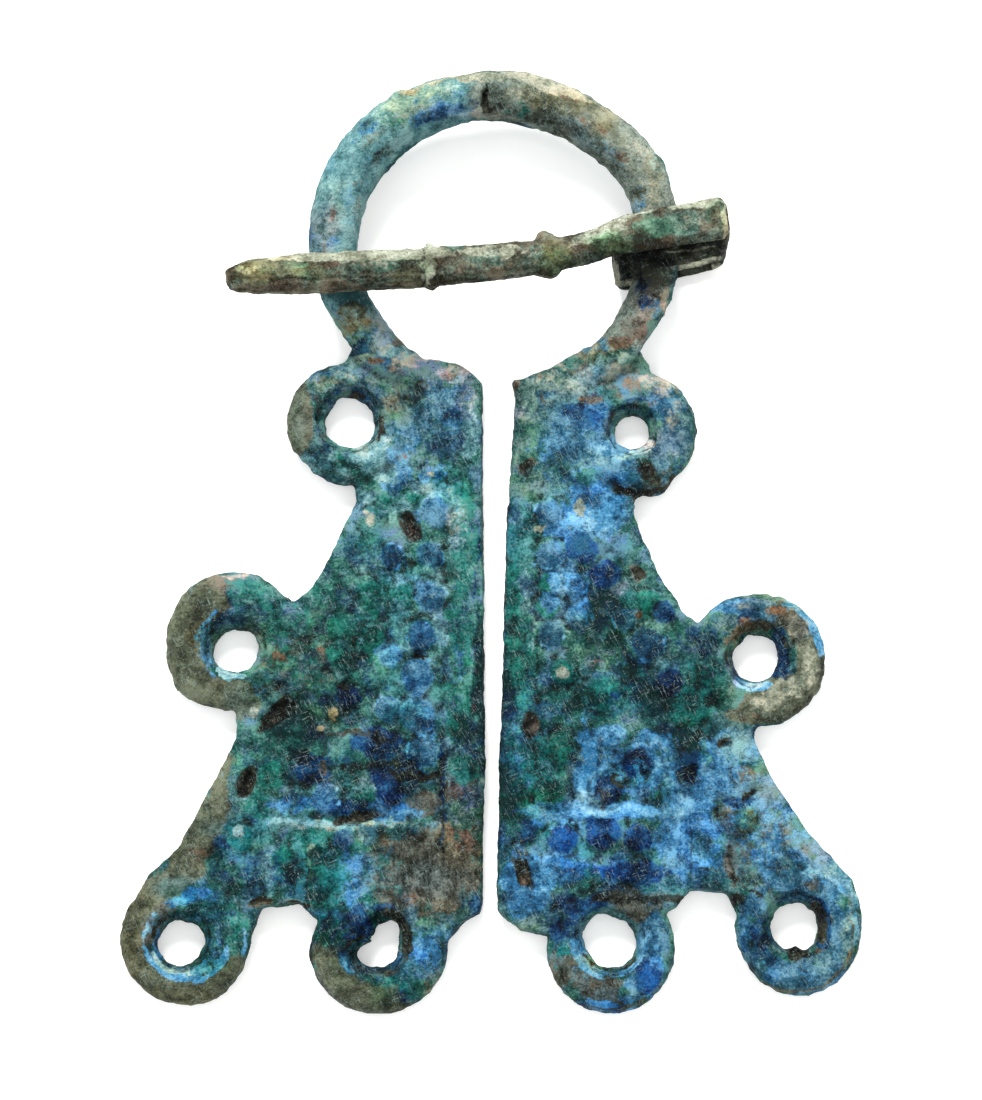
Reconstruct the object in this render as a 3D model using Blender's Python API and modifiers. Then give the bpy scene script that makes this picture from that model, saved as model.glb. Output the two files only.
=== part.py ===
"""A penannular brooch: one bronze casting and the pin that swings on it.

The casting is a wire hoop that runs out into two pelleted plates with four eyelets each. The pin is one
bar whose end is beaten flat and rolled one and a half turns round the hoop.

Sizes are in millimetres. X runs from the left plate to the right one, Y from the plates to the crown of
the hoop, and Z up from the casting's flat back. The brooch lies face up with the pin across the hoop.
"""

import math
from collections import namedtuple

import bmesh
import bpy
from mathutils import Matrix, Vector

MM = 0.001
CLEARANCE = 0.3

# The hoop, a hand-bent ring that is slightly oval
HOOP_X = 0.3
HOOP_Y = 18.4
HOOP_RADIUS = 9.58
HOOP_OVAL = 0.26
HOOP_OVAL_TURN = -12
HOOP_STEP = 7.5

# Where the ring bulges out or is pressed in: the angle from +X, how far, and over how many degrees each way
HOOP_BENDS = ((-32, -0.14, 22), (27, 0.26, 24), (212, -0.14, 20))

# The wire's diameter at angles round the hoop
WIRE = (
    (-46, 2.5), (-10, 2.65), (20, 2.75), (34, 3.05), (60, 3.0),
    (75, 3.35), (100, 2.95), (130, 3.45), (150, 3.35), (200, 2.8), (226, 2.6),
)
WIRE_BEVEL = 3
LEG_START = 20
LEG_END = 62
TAIL_START = 47
TAIL_WIRE = 1.1
TAIL_HEIGHT = 1.25

# The plates and what stands on them
PLATE = 1.8
PLATE_EDGE = 0.3
EYELET_HEIGHT = 2.2
EYELET_FOOT = 0.12
EYELET_EDGE = 1.0
EYELET_STEPS = 26
HOLE_WAIST = 1.0
HOLE_FLARE = 0.8
HOLE_FLARE_START = 115
HOLE_TAPER = 0.1
HOLE_STEPS = 18
CUTTER_REACH = 1.0
ARC_STEPS = 3
PELLET_HEIGHT = 0.42
PELLET_SUNK = 0.06
PELLET_SIDES = 9
PELLET_RINGS = 4
RIM_WIDTH = 0.7
RIM_HEIGHT = 0.2
RIM_BEVEL = 2
WELD = 0.001

Eyelet = namedtuple("Eyelet", "name x y outer hole_x hole_y hole")
Plate = namedtuple("Plate", "name outline eyelets pellet_rows rims")
PelletRow = namedtuple("PelletRow", "start end count radius")

LEFT_PLATE = Plate(
    name="left",
    outline=(
        (-0.54, 10.2), (-1.3, 10.9), (-2.1, 11.4), (-4.0, 11.7), (-5.6, 12.6), (-8.2, 12.7), (-8.9, 11.3),
        (-8.4, 7.6), (-8.05, 2.9), (-9.5, -0.05), (-10.3, -1.8), (-11.1, -2.75),
        (-15.3, -6.0), (-15.1, -11.3), (-16.3, -13.8), (-18.45, -17.9), (-20.15, -19.5), (-20.9, -20.9),
        (-18.1, -23.3), (-14.1, -23.0), (-13.5, -21.3), (-11.3, -21.1), (-10.5, -21.9),
        (-6.5, -23.5), (-2.5, -23.3), (-1.65, -22.2), (-0.53, -21.7), (-0.41, -10.9),
    ),
    eyelets=(
        Eyelet("top", -8.52, 7.7, 3.82, -8.48, 7.8, 1.63),
        Eyelet("middle", -15.22, -5.57, 4.2, -15.2, -6.1, 1.42),
        Eyelet("outer", -17.95, -23.2, 3.87, -18.2, -23.4, 1.48),
        Eyelet("inner", -6.45, -23.6, 4.0, -6.6, -23.4, 1.62),
    ),
    pellet_rows=(
        PelletRow((-3.2, 1.9), (-4.3, -7.8), 5, 0.88),
        PelletRow((-4.2, -10.3), (-4.1, -15.2), 3, 1.0),
        PelletRow((-5.9, -0.6), (-6.0, -9.6), 4, 0.76),
        PelletRow((-7.2, 1.6), (-7.6, -2.6), 2, 0.76),
        PelletRow((-9.2, -4.7), (-8.3, -8.3), 3, 0.84),
        PelletRow((-11.6, -11.2), (-14.3, -17.4), 4, 0.86),
        PelletRow((-11.2, -15.3), (-7.7, -14.95), 3, 0.8),
        PelletRow((-10.5, -17.7), (-8.6, -17.5), 2, 0.7),
        PelletRow((-8.3, -12.1), (-12.4, -7.0), 3, 0.95),
    ),
    rims=(((-13.0, -16.45), (-3.2, -16.8)),),
)
RIGHT_PLATE = Plate(
    name="right",
    outline=(
        (1.35, 10.2), (1.5, 9.3), (0.96, 1.7), (0.84, -3.1), (0.53, -12.7), (0.35, -21.6),
        (1.7, -22.75), (3.2, -23.0), (7.0, -23.7), (10.9, -21.3), (11.7, -20.3), (13.95, -20.5),
        (14.4, -21.6), (18.0, -22.6), (21.72, -21.7), (21.25, -19.75), (18.65, -16.95), (16.8, -14.1), (15.6, -11.5),
        (16.1, -6.7), (12.2, -4.4), (11.55, -4.0), (10.0, -1.5), (8.55, 2.0),
        (8.6, 7.1), (9.6, 11.1), (8.9, 12.4), (5.7, 12.4), (3.6, 11.1), (2.1, 10.5),
    ),
    eyelets=(
        Eyelet("top", 8.63, 7.2, 3.8, 8.5, 7.2, 1.08),
        Eyelet("middle", 15.93, -6.58, 4.05, 15.8, -6.48, 1.5),
        Eyelet("outer", 18.02, -22.65, 3.78, 17.88, -22.5, 1.52),
        Eyelet("inner", 7.03, -23.8, 3.8, 6.98, -23.35, 1.64),
    ),
    pellet_rows=(
        PelletRow((3.4, 1.9), (3.6, -5.4), 5, 0.72),
        PelletRow((5.3, -0.2), (11.6, -9.4), 6, 0.86),
        PelletRow((5.8, -3.3), (7.0, -8.6), 3, 0.9),
        PelletRow((4.2, -8.3), (4.3, -12.0), 2, 0.85),
        PelletRow((8.6, -12.6), (9.3, -10.5), 2, 0.9),
        PelletRow((4.1, -14.7), (9.8, -14.4), 3, 0.88),
        PelletRow((4.2, -17.35), (9.3, -16.95), 3, 0.95),
        PelletRow((5.2, -19.7), (9.0, -19.3), 2, 0.88),
        PelletRow((12.3, -12.6), (14.6, -16.6), 2, 0.85),
    ),
    rims=(((2.6, -16.0), (12.0, -15.65)), ((9.3, -3.6), (12.1, -7.2))),
)

# The pin, in its own frame: along it from the hinge to the head's end, across it and up
HINGE_ANGLE = -2.4
FAR_SIDE_ANGLE = 192
PIN_BEARING = 5.7
STRIP = 0.8
SLOT_HEIGHT = 3.9
SLOT_LEFT = -2.0
SLOT_RIGHT = 3.4
LAP_GAP = 0.2
FLOOR_GAP = 0.1
FOLD = 0.7
FOLD_STEPS = 5
PIN_SIDES = 10
SHANK_SQUARENESS = 3.0
PIN_STEP = 1.0
RIDGES = ((-13.8, 0.24, 0.45), (-6.9, 0.3, 0.8))
STATION_GAP = 0.12
SHARP_ANGLE = 50

Section = namedtuple("Section", "along across width depth")
SHANK = (
    Section(-25.8, 0.2, 1.3, 1.1),
    Section(-25.4, 0.16, 1.6, 1.5),
    Section(-24.4, 0.12, 2.0, 1.9),
    Section(-21.6, 0.0, 2.4, 2.1),
    Section(-18.6, -0.14, 2.35, 2.1),
    Section(-14.4, -0.34, 2.35, 2.05),
    Section(-9.6, -0.42, 2.15, 1.95),
    Section(-6.0, -0.28, 1.95, 1.75),
    Section(-3.7, 0.02, 2.0, 1.2),
    Section(-2.1, 0.36, 2.4, 0.8),
)
# The rolled strip, by its share of the way from the shank to its end: its place across and its width
ROLL = (
    (0.0, 0.36, 2.4),
    (0.22, 0.8, 2.6),
    (0.4, 0.42, 2.4),
    (0.6, -0.4, 2.4),
    (0.8, -0.55, 2.3),
    (1.0, -0.25, 2.4),
)

BRONZE = (0.06, 0.17, 0.2)
OLIVE_BRONZE = (0.16, 0.15, 0.09)


def mix(keys, place):
    """The value at a place, read between (place, value) keys and held beyond the first and the last."""
    if place <= keys[0][0]:
        return keys[0][1]
    for (start, low), (end, high) in zip(keys, keys[1:]):
        if place <= end:
            return low + (high - low) * (place - start) / (end - start)
    return keys[-1][1]


def smooth(value, start, end):
    """An even rise from 0 at start to 1 at end, level at both."""
    share = min(max((value - start) / (end - start), 0.0), 1.0)
    return share * share * (3 - 2 * share)


def swell(value, bumps):
    """How far (middle, rise, reach) bumps lift the place at a value."""
    return sum(rise * (1 - smooth(abs(value - middle), 0, reach)) for middle, rise, reach in bumps)


def hinge_height():
    """The wire's middle stands on what lies under it: the pin's lowest lap and half of its slot."""
    return FLOOR_GAP + STRIP + SLOT_HEIGHT / 2


def hoop_point(angle):
    """The wire's middle at an angle in degrees. Both legs come down to the plates."""
    turn = math.radians(angle)
    radius = HOOP_RADIUS + HOOP_OVAL * math.cos(2 * (turn - math.radians(HOOP_OVAL_TURN)))
    radius += swell(angle, HOOP_BENDS)
    down = abs(angle - 90) - 90
    height = hinge_height() + (TAIL_HEIGHT - hinge_height()) * smooth(down, LEG_START, LEG_END)
    return Vector((HOOP_X + radius * math.cos(turn), HOOP_Y + radius * math.sin(turn), height))


def wire_diameter(angle):
    """The wire thins to nothing much where a leg has run out into its plate."""
    down = abs(angle - 90) - 90
    return mix(WIRE, angle) + (TAIL_WIRE - mix(WIRE, angle)) * smooth(down, TAIL_START, LEG_END)


def new_collection(name):
    collection = bpy.data.collections.new(name)
    bpy.context.scene.collection.children.link(collection)
    return collection


def add_object(name, data, collection):
    made = bpy.data.objects.new(name, data)
    collection.objects.link(made)
    return made


def as_mesh(curve_object, collection):
    """The curve's evaluated shape as a mesh object, its caps welded on."""
    bpy.context.view_layer.update()
    evaluated = curve_object.evaluated_get(bpy.context.evaluated_depsgraph_get())
    mesh = bpy.data.meshes.new_from_object(evaluated)
    shape = bmesh.new()
    shape.from_mesh(mesh)
    bmesh.ops.remove_doubles(shape, verts=shape.verts, dist=WELD * MM)
    shape.to_mesh(mesh)
    shape.free()
    name = curve_object.name
    matrix = curve_object.matrix_world.copy()
    bpy.data.objects.remove(curve_object)
    made = add_object(name, mesh, collection)
    made.matrix_world = matrix
    return made


def wire_object(name, runs, bevel_resolution, collection):
    """Round bars along runs of (point, diameter), each with closed ends."""
    curve = bpy.data.curves.new(name, "CURVE")
    curve.dimensions = "3D"
    curve.bevel_depth = MM / 2
    curve.bevel_resolution = bevel_resolution
    curve.use_fill_caps = True
    for run in runs:
        spline = curve.splines.new("POLY")
        spline.points.add(len(run) - 1)
        for target, (point, diameter) in zip(spline.points, run):
            target.co = (point[0] * MM, point[1] * MM, point[2] * MM, 1)
            target.radius = diameter
    return as_mesh(add_object(name, curve, collection), collection)


def slab_object(name, outline, collection):
    """A plate with a flat back and a small round on its edges."""
    curve = bpy.data.curves.new(name, "CURVE")
    curve.dimensions = "2D"
    curve.fill_mode = "BOTH"
    curve.bevel_depth = PLATE_EDGE * MM
    curve.bevel_resolution = 1
    curve.offset = -PLATE_EDGE * MM
    curve.extrude = (PLATE / 2 - PLATE_EDGE) * MM
    spline = curve.splines.new("POLY")
    spline.points.add(len(outline) - 1)
    for target, (x, y) in zip(spline.points, outline):
        target.co = (x * MM, y * MM, 0, 1)
    spline.use_cyclic_u = True
    made = add_object(name, curve, collection)
    made.location.z = PLATE / 2 * MM
    return as_mesh(made, collection)


def turned_object(name, profile, x, y, steps, collection):
    """A solid of revolution. The profile is (radius, height) from the top of its axis down to the foot."""
    shape = bmesh.new()
    points = [shape.verts.new((radius * MM, 0, height * MM)) for radius, height in profile]
    for upper, lower in zip(points, points[1:]):
        shape.edges.new((upper, lower))
    mesh = bpy.data.meshes.new(name)
    shape.to_mesh(mesh)
    shape.free()
    made = add_object(name, mesh, collection)
    made.location = (x * MM, y * MM, 0)
    screw = made.modifiers.new("turn", "SCREW")
    screw.steps = steps
    screw.render_steps = steps
    screw.use_merge_vertices = True
    screw.merge_threshold = WELD * MM
    return made


def arc(centre, radius, start, end, steps):
    """Points (radius, height) of an arc round a centre, from one angle in degrees to another."""
    turns = [math.radians(start + (end - start) * i / steps) for i in range(steps + 1)]
    return [(centre[0] + radius * math.cos(turn), centre[1] + radius * math.sin(turn)) for turn in turns]


def eyelet_boss(plate, eyelet, collection):
    """The round lug that an eyelet is pierced through, worn round at its upper edge."""
    shoulder = arc((eyelet.outer - EYELET_EDGE, EYELET_HEIGHT - EYELET_EDGE), EYELET_EDGE, 90, 0, ARC_STEPS)
    foot = [(eyelet.outer - PLATE_EDGE, EYELET_FOOT), (0, EYELET_FOOT)]
    profile = [(0, EYELET_HEIGHT), *shoulder, *foot]
    name = f"{plate.name}_{eyelet.name}_boss"
    return turned_object(name, profile, eyelet.x, eyelet.y, EYELET_STEPS, collection)


def eyelet_cutter(plate, eyelet, collection):
    """The hole, with a flared mouth above and its narrowest place below the middle."""
    flare = arc((eyelet.hole + HOLE_FLARE, HOLE_WAIST), HOLE_FLARE, HOLE_FLARE_START, 180, ARC_STEPS)
    lip = (flare[0][0], EYELET_HEIGHT + CUTTER_REACH)
    foot = (eyelet.hole + HOLE_TAPER, -CUTTER_REACH)
    profile = [(0, lip[1]), lip, *flare, foot, (0, foot[1])]
    name = f"{plate.name}_{eyelet.name}_hole"
    return turned_object(name, profile, eyelet.hole_x, eyelet.hole_y, HOLE_STEPS, collection)


def pellets(plate, collection):
    """Rows of low round pellets, each sunk a little past its middle in the plate."""
    shape = bmesh.new()
    for row in plate.pellet_rows:
        for i in range(row.count):
            share = i / (row.count - 1)
            x = row.start[0] + (row.end[0] - row.start[0]) * share
            y = row.start[1] + (row.end[1] - row.start[1]) * share
            place = Matrix.Translation((x * MM, y * MM, (PLATE - PELLET_SUNK) * MM))
            flat = Matrix.Diagonal((row.radius * MM, row.radius * MM, (PELLET_HEIGHT + PELLET_SUNK) * MM, 1))
            bmesh.ops.create_uvsphere(
                shape, u_segments=PELLET_SIDES, v_segments=PELLET_RINGS, radius=1, matrix=place @ flat
            )
    name = f"{plate.name}_pellets"
    mesh = bpy.data.meshes.new(name)
    shape.to_mesh(mesh)
    shape.free()
    return add_object(name, mesh, collection)


def rims(plate, collection):
    """The raised lines that close a field of pellets."""
    middle = PLATE + RIM_HEIGHT - RIM_WIDTH / 2
    runs = [[((x, y, middle), RIM_WIDTH) for x, y in line] for line in plate.rims]
    return wire_object(f"{plate.name}_rims", runs, RIM_BEVEL, collection)


def hoop(collection):
    """The wire of the hoop, from inside one plate round the crown to inside the other."""
    first = -LEG_END
    count = round((180 + 2 * LEG_END) / HOOP_STEP)
    angles = [first + (180 + 2 * LEG_END) * i / count for i in range(count + 1)]
    run = [(hoop_point(angle), wire_diameter(angle)) for angle in angles]
    return wire_object("hoop_wire", [run], WIRE_BEVEL, collection)


def finish(name, colour, roughness, metallic):
    material = bpy.data.materials.new(name)
    material.use_nodes = True
    shader = material.node_tree.nodes["Principled BSDF"]
    shader.inputs["Base Color"].default_value = (*colour, 1)
    shader.inputs["Roughness"].default_value = roughness
    shader.inputs["Metallic"].default_value = metallic
    return material


def boolean(target, operation, operands):
    modifier = target.modifiers.new(operation.lower(), "BOOLEAN")
    modifier.operation = operation
    modifier.operand_type = "COLLECTION"
    modifier.collection = operands
    modifier.solver = "EXACT"


def casting(collection, forms, cutters):
    """Hoop, plates, eyelets, pellets and rims, fused as the one casting that they are."""
    body = slab_object("hoop_with_plates", LEFT_PLATE.outline, collection)
    slab_object("right_slab", RIGHT_PLATE.outline, forms)
    hoop(forms)
    for plate in (LEFT_PLATE, RIGHT_PLATE):
        pellets(plate, forms)
        rims(plate, forms)
        for eyelet in plate.eyelets:
            eyelet_boss(plate, eyelet, forms)
            eyelet_cutter(plate, eyelet, cutters)
    boolean(body, "UNION", forms)
    boolean(body, "DIFFERENCE", cutters)
    body.data.materials.clear()
    body.data.materials.append(finish("patinated_bronze", BRONZE, 0.75, 0.3))
    return body


def fillet(before, corner, after):
    """A corner of the rolled strip's side view as an arc."""
    into = (Vector(before) - Vector(corner)).normalized()
    out = (Vector(after) - Vector(corner)).normalized()
    middle = Vector(corner) + (into + out) * FOLD
    places = []
    for i in range(FOLD_STEPS + 1):
        turn = math.pi / 2 * i / FOLD_STEPS
        places.append(middle - out * FOLD * math.cos(turn) - into * FOLD * math.sin(turn))
    return places


def roll_side_view():
    """The rolled strip's middle line from the shank to its end, as (along, up) points."""
    inner = (SLOT_HEIGHT + STRIP) / 2
    outer = inner + STRIP + LAP_GAP
    left = SLOT_LEFT - STRIP / 2
    right = SLOT_RIGHT + STRIP / 2
    end = SLOT_RIGHT - LAP_GAP
    start = SHANK[-1].along
    corners = [(start, outer), (right, outer), (right, -inner), (left, -inner), (left, inner), (end, inner)]
    line = [Vector(corners[0])]
    for before, corner, after in zip(corners, corners[1:], corners[2:]):
        line += fillet(before, corner, after)
    return line + [Vector(corners[-1])]


def shank_height(along, depth):
    """The shank lies over the far side of the hoop, and rises to the outer lap of its roll."""
    crossing = wire_diameter(FAR_SIDE_ANGLE) / 2 + CLEARANCE + depth / 2
    outer = (SLOT_HEIGHT + STRIP) / 2 + STRIP + LAP_GAP
    share = smooth(along, SHANK[-3].along, SHANK[-1].along)
    return crossing + (outer - crossing) * share


def shank_stations():
    """Places along the shank, closer together over the worn ridges: (along, up, across, width, depth)."""
    across = [(s.along, s.across) for s in SHANK]
    width = [(s.along, s.width) for s in SHANK]
    depth = [(s.along, s.depth) for s in SHANK]
    first = SHANK[0].along
    last = SHANK[-1].along
    count = round((last - first) / PIN_STEP)
    places = {first + (last - first) * i / count for i in range(count)}
    places |= {s.along for s in SHANK[:-1]}
    places |= {middle + reach * step for middle, _, reach in RIDGES for step in (-1, -0.5, 0, 0.5, 1)}
    ordered = sorted(places)
    kept = [here for here, after in zip(ordered, [*ordered[1:], last]) if after - here > STATION_GAP]
    stations = []
    for along in kept:
        ridge = swell(along, RIDGES)
        deep = mix(depth, along)
        height = shank_height(along, deep)
        stations.append((along, height, mix(across, along), mix(width, along) + 2 * ridge, deep + ridge))
    return stations


def roll_stations():
    """Places along the rolled strip: (along, up, across, width, depth)."""
    line = roll_side_view()
    lengths = [0.0]
    for before, after in zip(line, line[1:]):
        lengths.append(lengths[-1] + (after - before).length)
    across = [(share, place) for share, place, _ in ROLL]
    width = [(share, wide) for share, _, wide in ROLL]
    return [
        (point[0], point[1], mix(across, length / lengths[-1]), mix(width, length / lengths[-1]), STRIP)
        for point, length in zip(line, lengths)
    ]


def pin_mesh():
    """A loft of rounded rectangles from the blunt tip along the shank and round the roll."""
    stations = shank_stations() + roll_stations()
    middles = [Vector((along, across, up)) for along, up, across, _, _ in stations]
    shape = bmesh.new()
    rings = []
    for i, (_, _, _, width, depth) in enumerate(stations):
        run = middles[min(i + 1, len(middles) - 1)] - middles[max(i - 1, 0)]
        normal = Vector((-run.z, 0, run.x)).normalized()
        ring = []
        for side in range(PIN_SIDES):
            turn = 2 * math.pi * (side + 0.5) / PIN_SIDES
            c, s = math.cos(turn), math.sin(turn)
            bulge = (abs(c) ** SHANK_SQUARENESS + abs(s) ** SHANK_SQUARENESS) ** (-1 / SHANK_SQUARENESS)
            offset = Vector((0, width / 2 * c * bulge, 0)) + normal * depth / 2 * s * bulge
            ring.append(shape.verts.new((middles[i] + offset) * MM))
        rings.append(ring)
    for here, after in zip(rings, rings[1:]):
        for side in range(PIN_SIDES):
            nearby = (side + 1) % PIN_SIDES
            shape.faces.new((here[side], here[nearby], after[nearby], after[side]))
    shape.faces.new(rings[0])
    shape.faces.new(rings[-1])
    bmesh.ops.recalc_face_normals(shape, faces=shape.faces)
    mesh = bpy.data.meshes.new("pin")
    shape.to_mesh(mesh)
    shape.free()
    mesh.shade_smooth()
    mesh.set_sharp_from_angle(angle=math.radians(SHARP_ANGLE))
    return mesh


def pin(collection):
    """The pin, its origin on the hinge, which is the wire's middle inside the roll."""
    made = add_object("pin", pin_mesh(), collection)
    made.location = hoop_point(HINGE_ANGLE) * MM
    made.rotation_euler.z = math.radians(PIN_BEARING)
    made.data.materials.append(finish("olive_bronze", OLIVE_BRONZE, 0.8, 0.3))
    return made


def centre_on_origin(root, parts):
    """Moves the whole brooch so that the middle of its underside is the origin."""
    bpy.context.view_layer.update()
    graph = bpy.context.evaluated_depsgraph_get()
    corners = []
    for part in parts:
        evaluated = part.evaluated_get(graph)
        corners += [evaluated.matrix_world @ vertex.co for vertex in evaluated.data.vertices]
    low = [min(corner[axis] for corner in corners) for axis in range(3)]
    high = [max(corner[axis] for corner in corners) for axis in range(3)]
    root.location = (-(low[0] + high[0]) / 2, -(low[1] + high[1]) / 2, -low[2])


def main():
    for old in list(bpy.data.objects):
        bpy.data.objects.remove(old)
    brooch = new_collection("penannular_brooch")
    forms = new_collection("forms_to_fuse")
    cutters = new_collection("hole_cutters")
    parts = [casting(brooch, forms, cutters), pin(brooch)]
    for guide in [*forms.objects, *cutters.objects]:
        guide.hide_render = True
        guide.display_type = "WIRE"
    root = add_object("brooch_frame", None, brooch)
    for made in [*parts, *forms.objects, *cutters.objects]:
        made.parent = root
    centre_on_origin(root, parts)


main()
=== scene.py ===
"""Looks of the penannular brooch: corroded relief, patina, soft daylight and the camera.

Places on the brooch are given as the camera sees them, in pixels of its 982 by 1100 picture, because the
corrosion lies where it lies by chance. Heights, noise sizes and everything else are in millimetres.
"""

import itertools
import math
from collections import namedtuple

import bpy
import numpy as np
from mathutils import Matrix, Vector

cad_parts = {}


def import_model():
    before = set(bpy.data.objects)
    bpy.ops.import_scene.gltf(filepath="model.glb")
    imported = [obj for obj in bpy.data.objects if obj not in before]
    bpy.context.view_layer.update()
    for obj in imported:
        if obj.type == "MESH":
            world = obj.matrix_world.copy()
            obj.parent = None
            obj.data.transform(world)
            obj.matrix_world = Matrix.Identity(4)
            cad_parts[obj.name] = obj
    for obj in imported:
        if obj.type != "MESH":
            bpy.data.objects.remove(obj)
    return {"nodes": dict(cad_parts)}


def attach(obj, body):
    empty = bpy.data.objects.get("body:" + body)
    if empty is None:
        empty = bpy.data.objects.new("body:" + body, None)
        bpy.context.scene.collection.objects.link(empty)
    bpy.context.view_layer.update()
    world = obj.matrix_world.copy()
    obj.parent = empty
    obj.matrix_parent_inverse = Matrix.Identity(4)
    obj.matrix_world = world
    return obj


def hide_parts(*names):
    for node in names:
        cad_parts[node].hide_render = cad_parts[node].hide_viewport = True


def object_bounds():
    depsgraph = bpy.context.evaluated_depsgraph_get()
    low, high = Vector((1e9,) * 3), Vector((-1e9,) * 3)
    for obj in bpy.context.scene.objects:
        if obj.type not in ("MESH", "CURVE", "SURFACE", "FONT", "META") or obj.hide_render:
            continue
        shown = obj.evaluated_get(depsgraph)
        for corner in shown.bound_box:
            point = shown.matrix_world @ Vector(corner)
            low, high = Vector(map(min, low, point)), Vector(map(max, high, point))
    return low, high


MM = 0.001

# The camera: a little south of straight above, and close
PICTURE = (982, 1100)
PIXEL = 0.06
CAMERA_AIM = np.array([0.01, -0.85, 1.0])
CAMERA_DISTANCE = 200.0
CAMERA_ELEVATION = math.radians(80)
CAMERA_CLIP = (0.01, 10)
SENSOR = 36.0
FORWARD = np.array([0, math.cos(CAMERA_ELEVATION), -math.sin(CAMERA_ELEVATION)])
UPWARD = np.array([0, math.sin(CAMERA_ELEVATION), math.cos(CAMERA_ELEVATION)])
EYE = CAMERA_AIM - CAMERA_DISTANCE * FORWARD

# The light: azimuths turn east from north, towards the hoop, and distances and sizes are in metres
WINDOW = {"azimuth": -12, "elevation": 44, "distance": 0.4, "size": 0.16, "power": 2.7}
WINDOW_TINT = (1.0, 0.99, 0.97)
CEILING = {"azimuth": 200, "elevation": 75, "distance": 0.6, "size": 0.5, "power": 0.5}
CEILING_TINT = (0.97, 0.99, 1.0)
SKYLIGHT = 1.15
FLOOR_HALF = 0.6
FLOOR_DROP = 0.05
FLOOR_GLOW = 0.24

# How fine the meshes are, and how much is left of the casting's flat back
CASTING_VOXEL = 0.17
PIN_VOXEL = 0.09
CASTING_KEPT = 0.75
BACK_HEIGHT = 0.25
BACK_TILT = -0.7
LATTICE = 32

# The rolled head: the height of its outer lap, how far below it the inner laps lie, and where it starts
HEAD_TOP = 6.7
HEAD_DEPTHS = (0.5, 0.95)
HEAD_START = 6.2
HEAD_BLEND = 0.6

# Heights on the plates, and the pellets' form in shares of their radius
PLATE = 1.8
PELLET_RISE = 0.34
PELLET_MOAT = 0.02
PELLET_FOOT = 1.2
PELLET_ROUND = 0.75
PELLET_EDGE = 0.05
MOAT_STARTS = (0.9, 1.3)
MOAT_ENDS = (1.3, 1.9)

# Where the plates' flat fields begin: below the hoop's legs, beside the rims, and where the top is level
FIELD_TOP = (395, 430)
FIELD_RIM = (-1, 9)
FIELD_HEIGHT = (1.5, 1.78)
FIELD_LEVEL = (0.2, 0.6)

# Where marks fade, as shares of their half-widths, and arcs also in degrees past their ends
PATCH_FADE = (0.55, 1.45)
LUMP_FADE = (0.4, 1.35)
LINE_FADE = (0, 1.6)
ARC_FADE = (0.7, 1.4)
ARC_END_FADE = (-6, 10)
# In pixels: how near a hole an arc follows it and not the rim, and how wide a pellet's pale rim is
HOLE_REACH = 13
PELLET_RIM_FADE = (0.8, 3.2)
# Where crusts lie, in pixels past a hole's edge and past a rim, and how rough and thick they are
HOLE_CRUST_FADE = (3, 16)
RIM_CRUST_STARTS = (-16, -4)
RIM_CRUST_ENDS = (6, 14)
CRUST_ROUGHNESS = 0.1
CRUST_LEAST = 0.05
CRUST_CORE = 0.2
RIM_ROUGHNESS = 0.6

# Layers of relief, each (height, size, seed) and, where they aren't three, its octaves
CASTING_RELIEF = ((0.04, 1.9, 31), (0.035, 0.8, 41), (0.035, 0.4, 51))
EDGE_RELIEF = ((0.02, 0.9, 61), (0.045, 0.35, 63, 1))
PIN_RELIEF = ((0.03, 1.2, 35), (0.035, 0.5, 45), (0.018, 0.2, 55, 1))
BACK_SMOOTHED = 0.75
# How far marks wander in pixels: the relief's, then the patches', by coarse and by close noise
CASTING_WANDER = 4.0
PIN_WANDER = 2.0
WIDE_WANDER = (5.0, 1.5)
NEAR_WANDER = (1.8, 1.2)
LOOSE_WANDER = (3.5, 3.0)
PIN_PATCH_WANDER = 3.5
PIN_RIM_WANDER = 1.5
# Over how many neighbours a hollow is measured, and how deep a full one is
HOLLOW_ROUNDS = 8
CASTING_HOLLOW = 0.06
PIN_HOLLOW = 0.04

# The stains on and round the pellets: (strength, size against the pellet)
SLATE_PELLET = (0.9, 1.0)
DEEP_PELLET = (0.92, 1.0)
GREEN_PELLET = (0.85, 1.0)
PELLET_HALO = (0.4, 1.4)
PELLET_RING = (0.4, 1.5)
PELLET_RIM = 0.6
# The hoop's left half is bluer and its right half greyer: (first angle, last angle, strength)
HOOP_BLUE = (104, 222, 0.95)
HOOP_GREY = (-50, 92, 0.95)
HOOP_STEP = 6
HOOP_REACH = 32
# What is left of the arcs where they are most worn, and how much more elsewhere
WORN_LEAST = 0.45
WORN_MORE = 0.65

# How dark the patina is beside the overlit floor
ALBEDO = 0.49
# Where the tone turns from dark through middle to light, and what moves it
TONE_STOPS = (0.4, 0.5, 0.61)
TONE_START = -0.065
TONE_WEIGHTS = (0.35, 0.5, 0.28)
BRUSHED_WEIGHT = 0.35
LIGHT_WEIGHT = 0.11
# What thin stains do to red, green and blue
STAINS = {
    "blue": (0.6, 1.0, 1.45, 1),
    "warm": (1.35, 1.0, 0.66, 1),
    "leaf": (0.66, 1.12, 0.84, 1),
    "dull": (1.36, 0.86, 1.08, 1),
}

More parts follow.
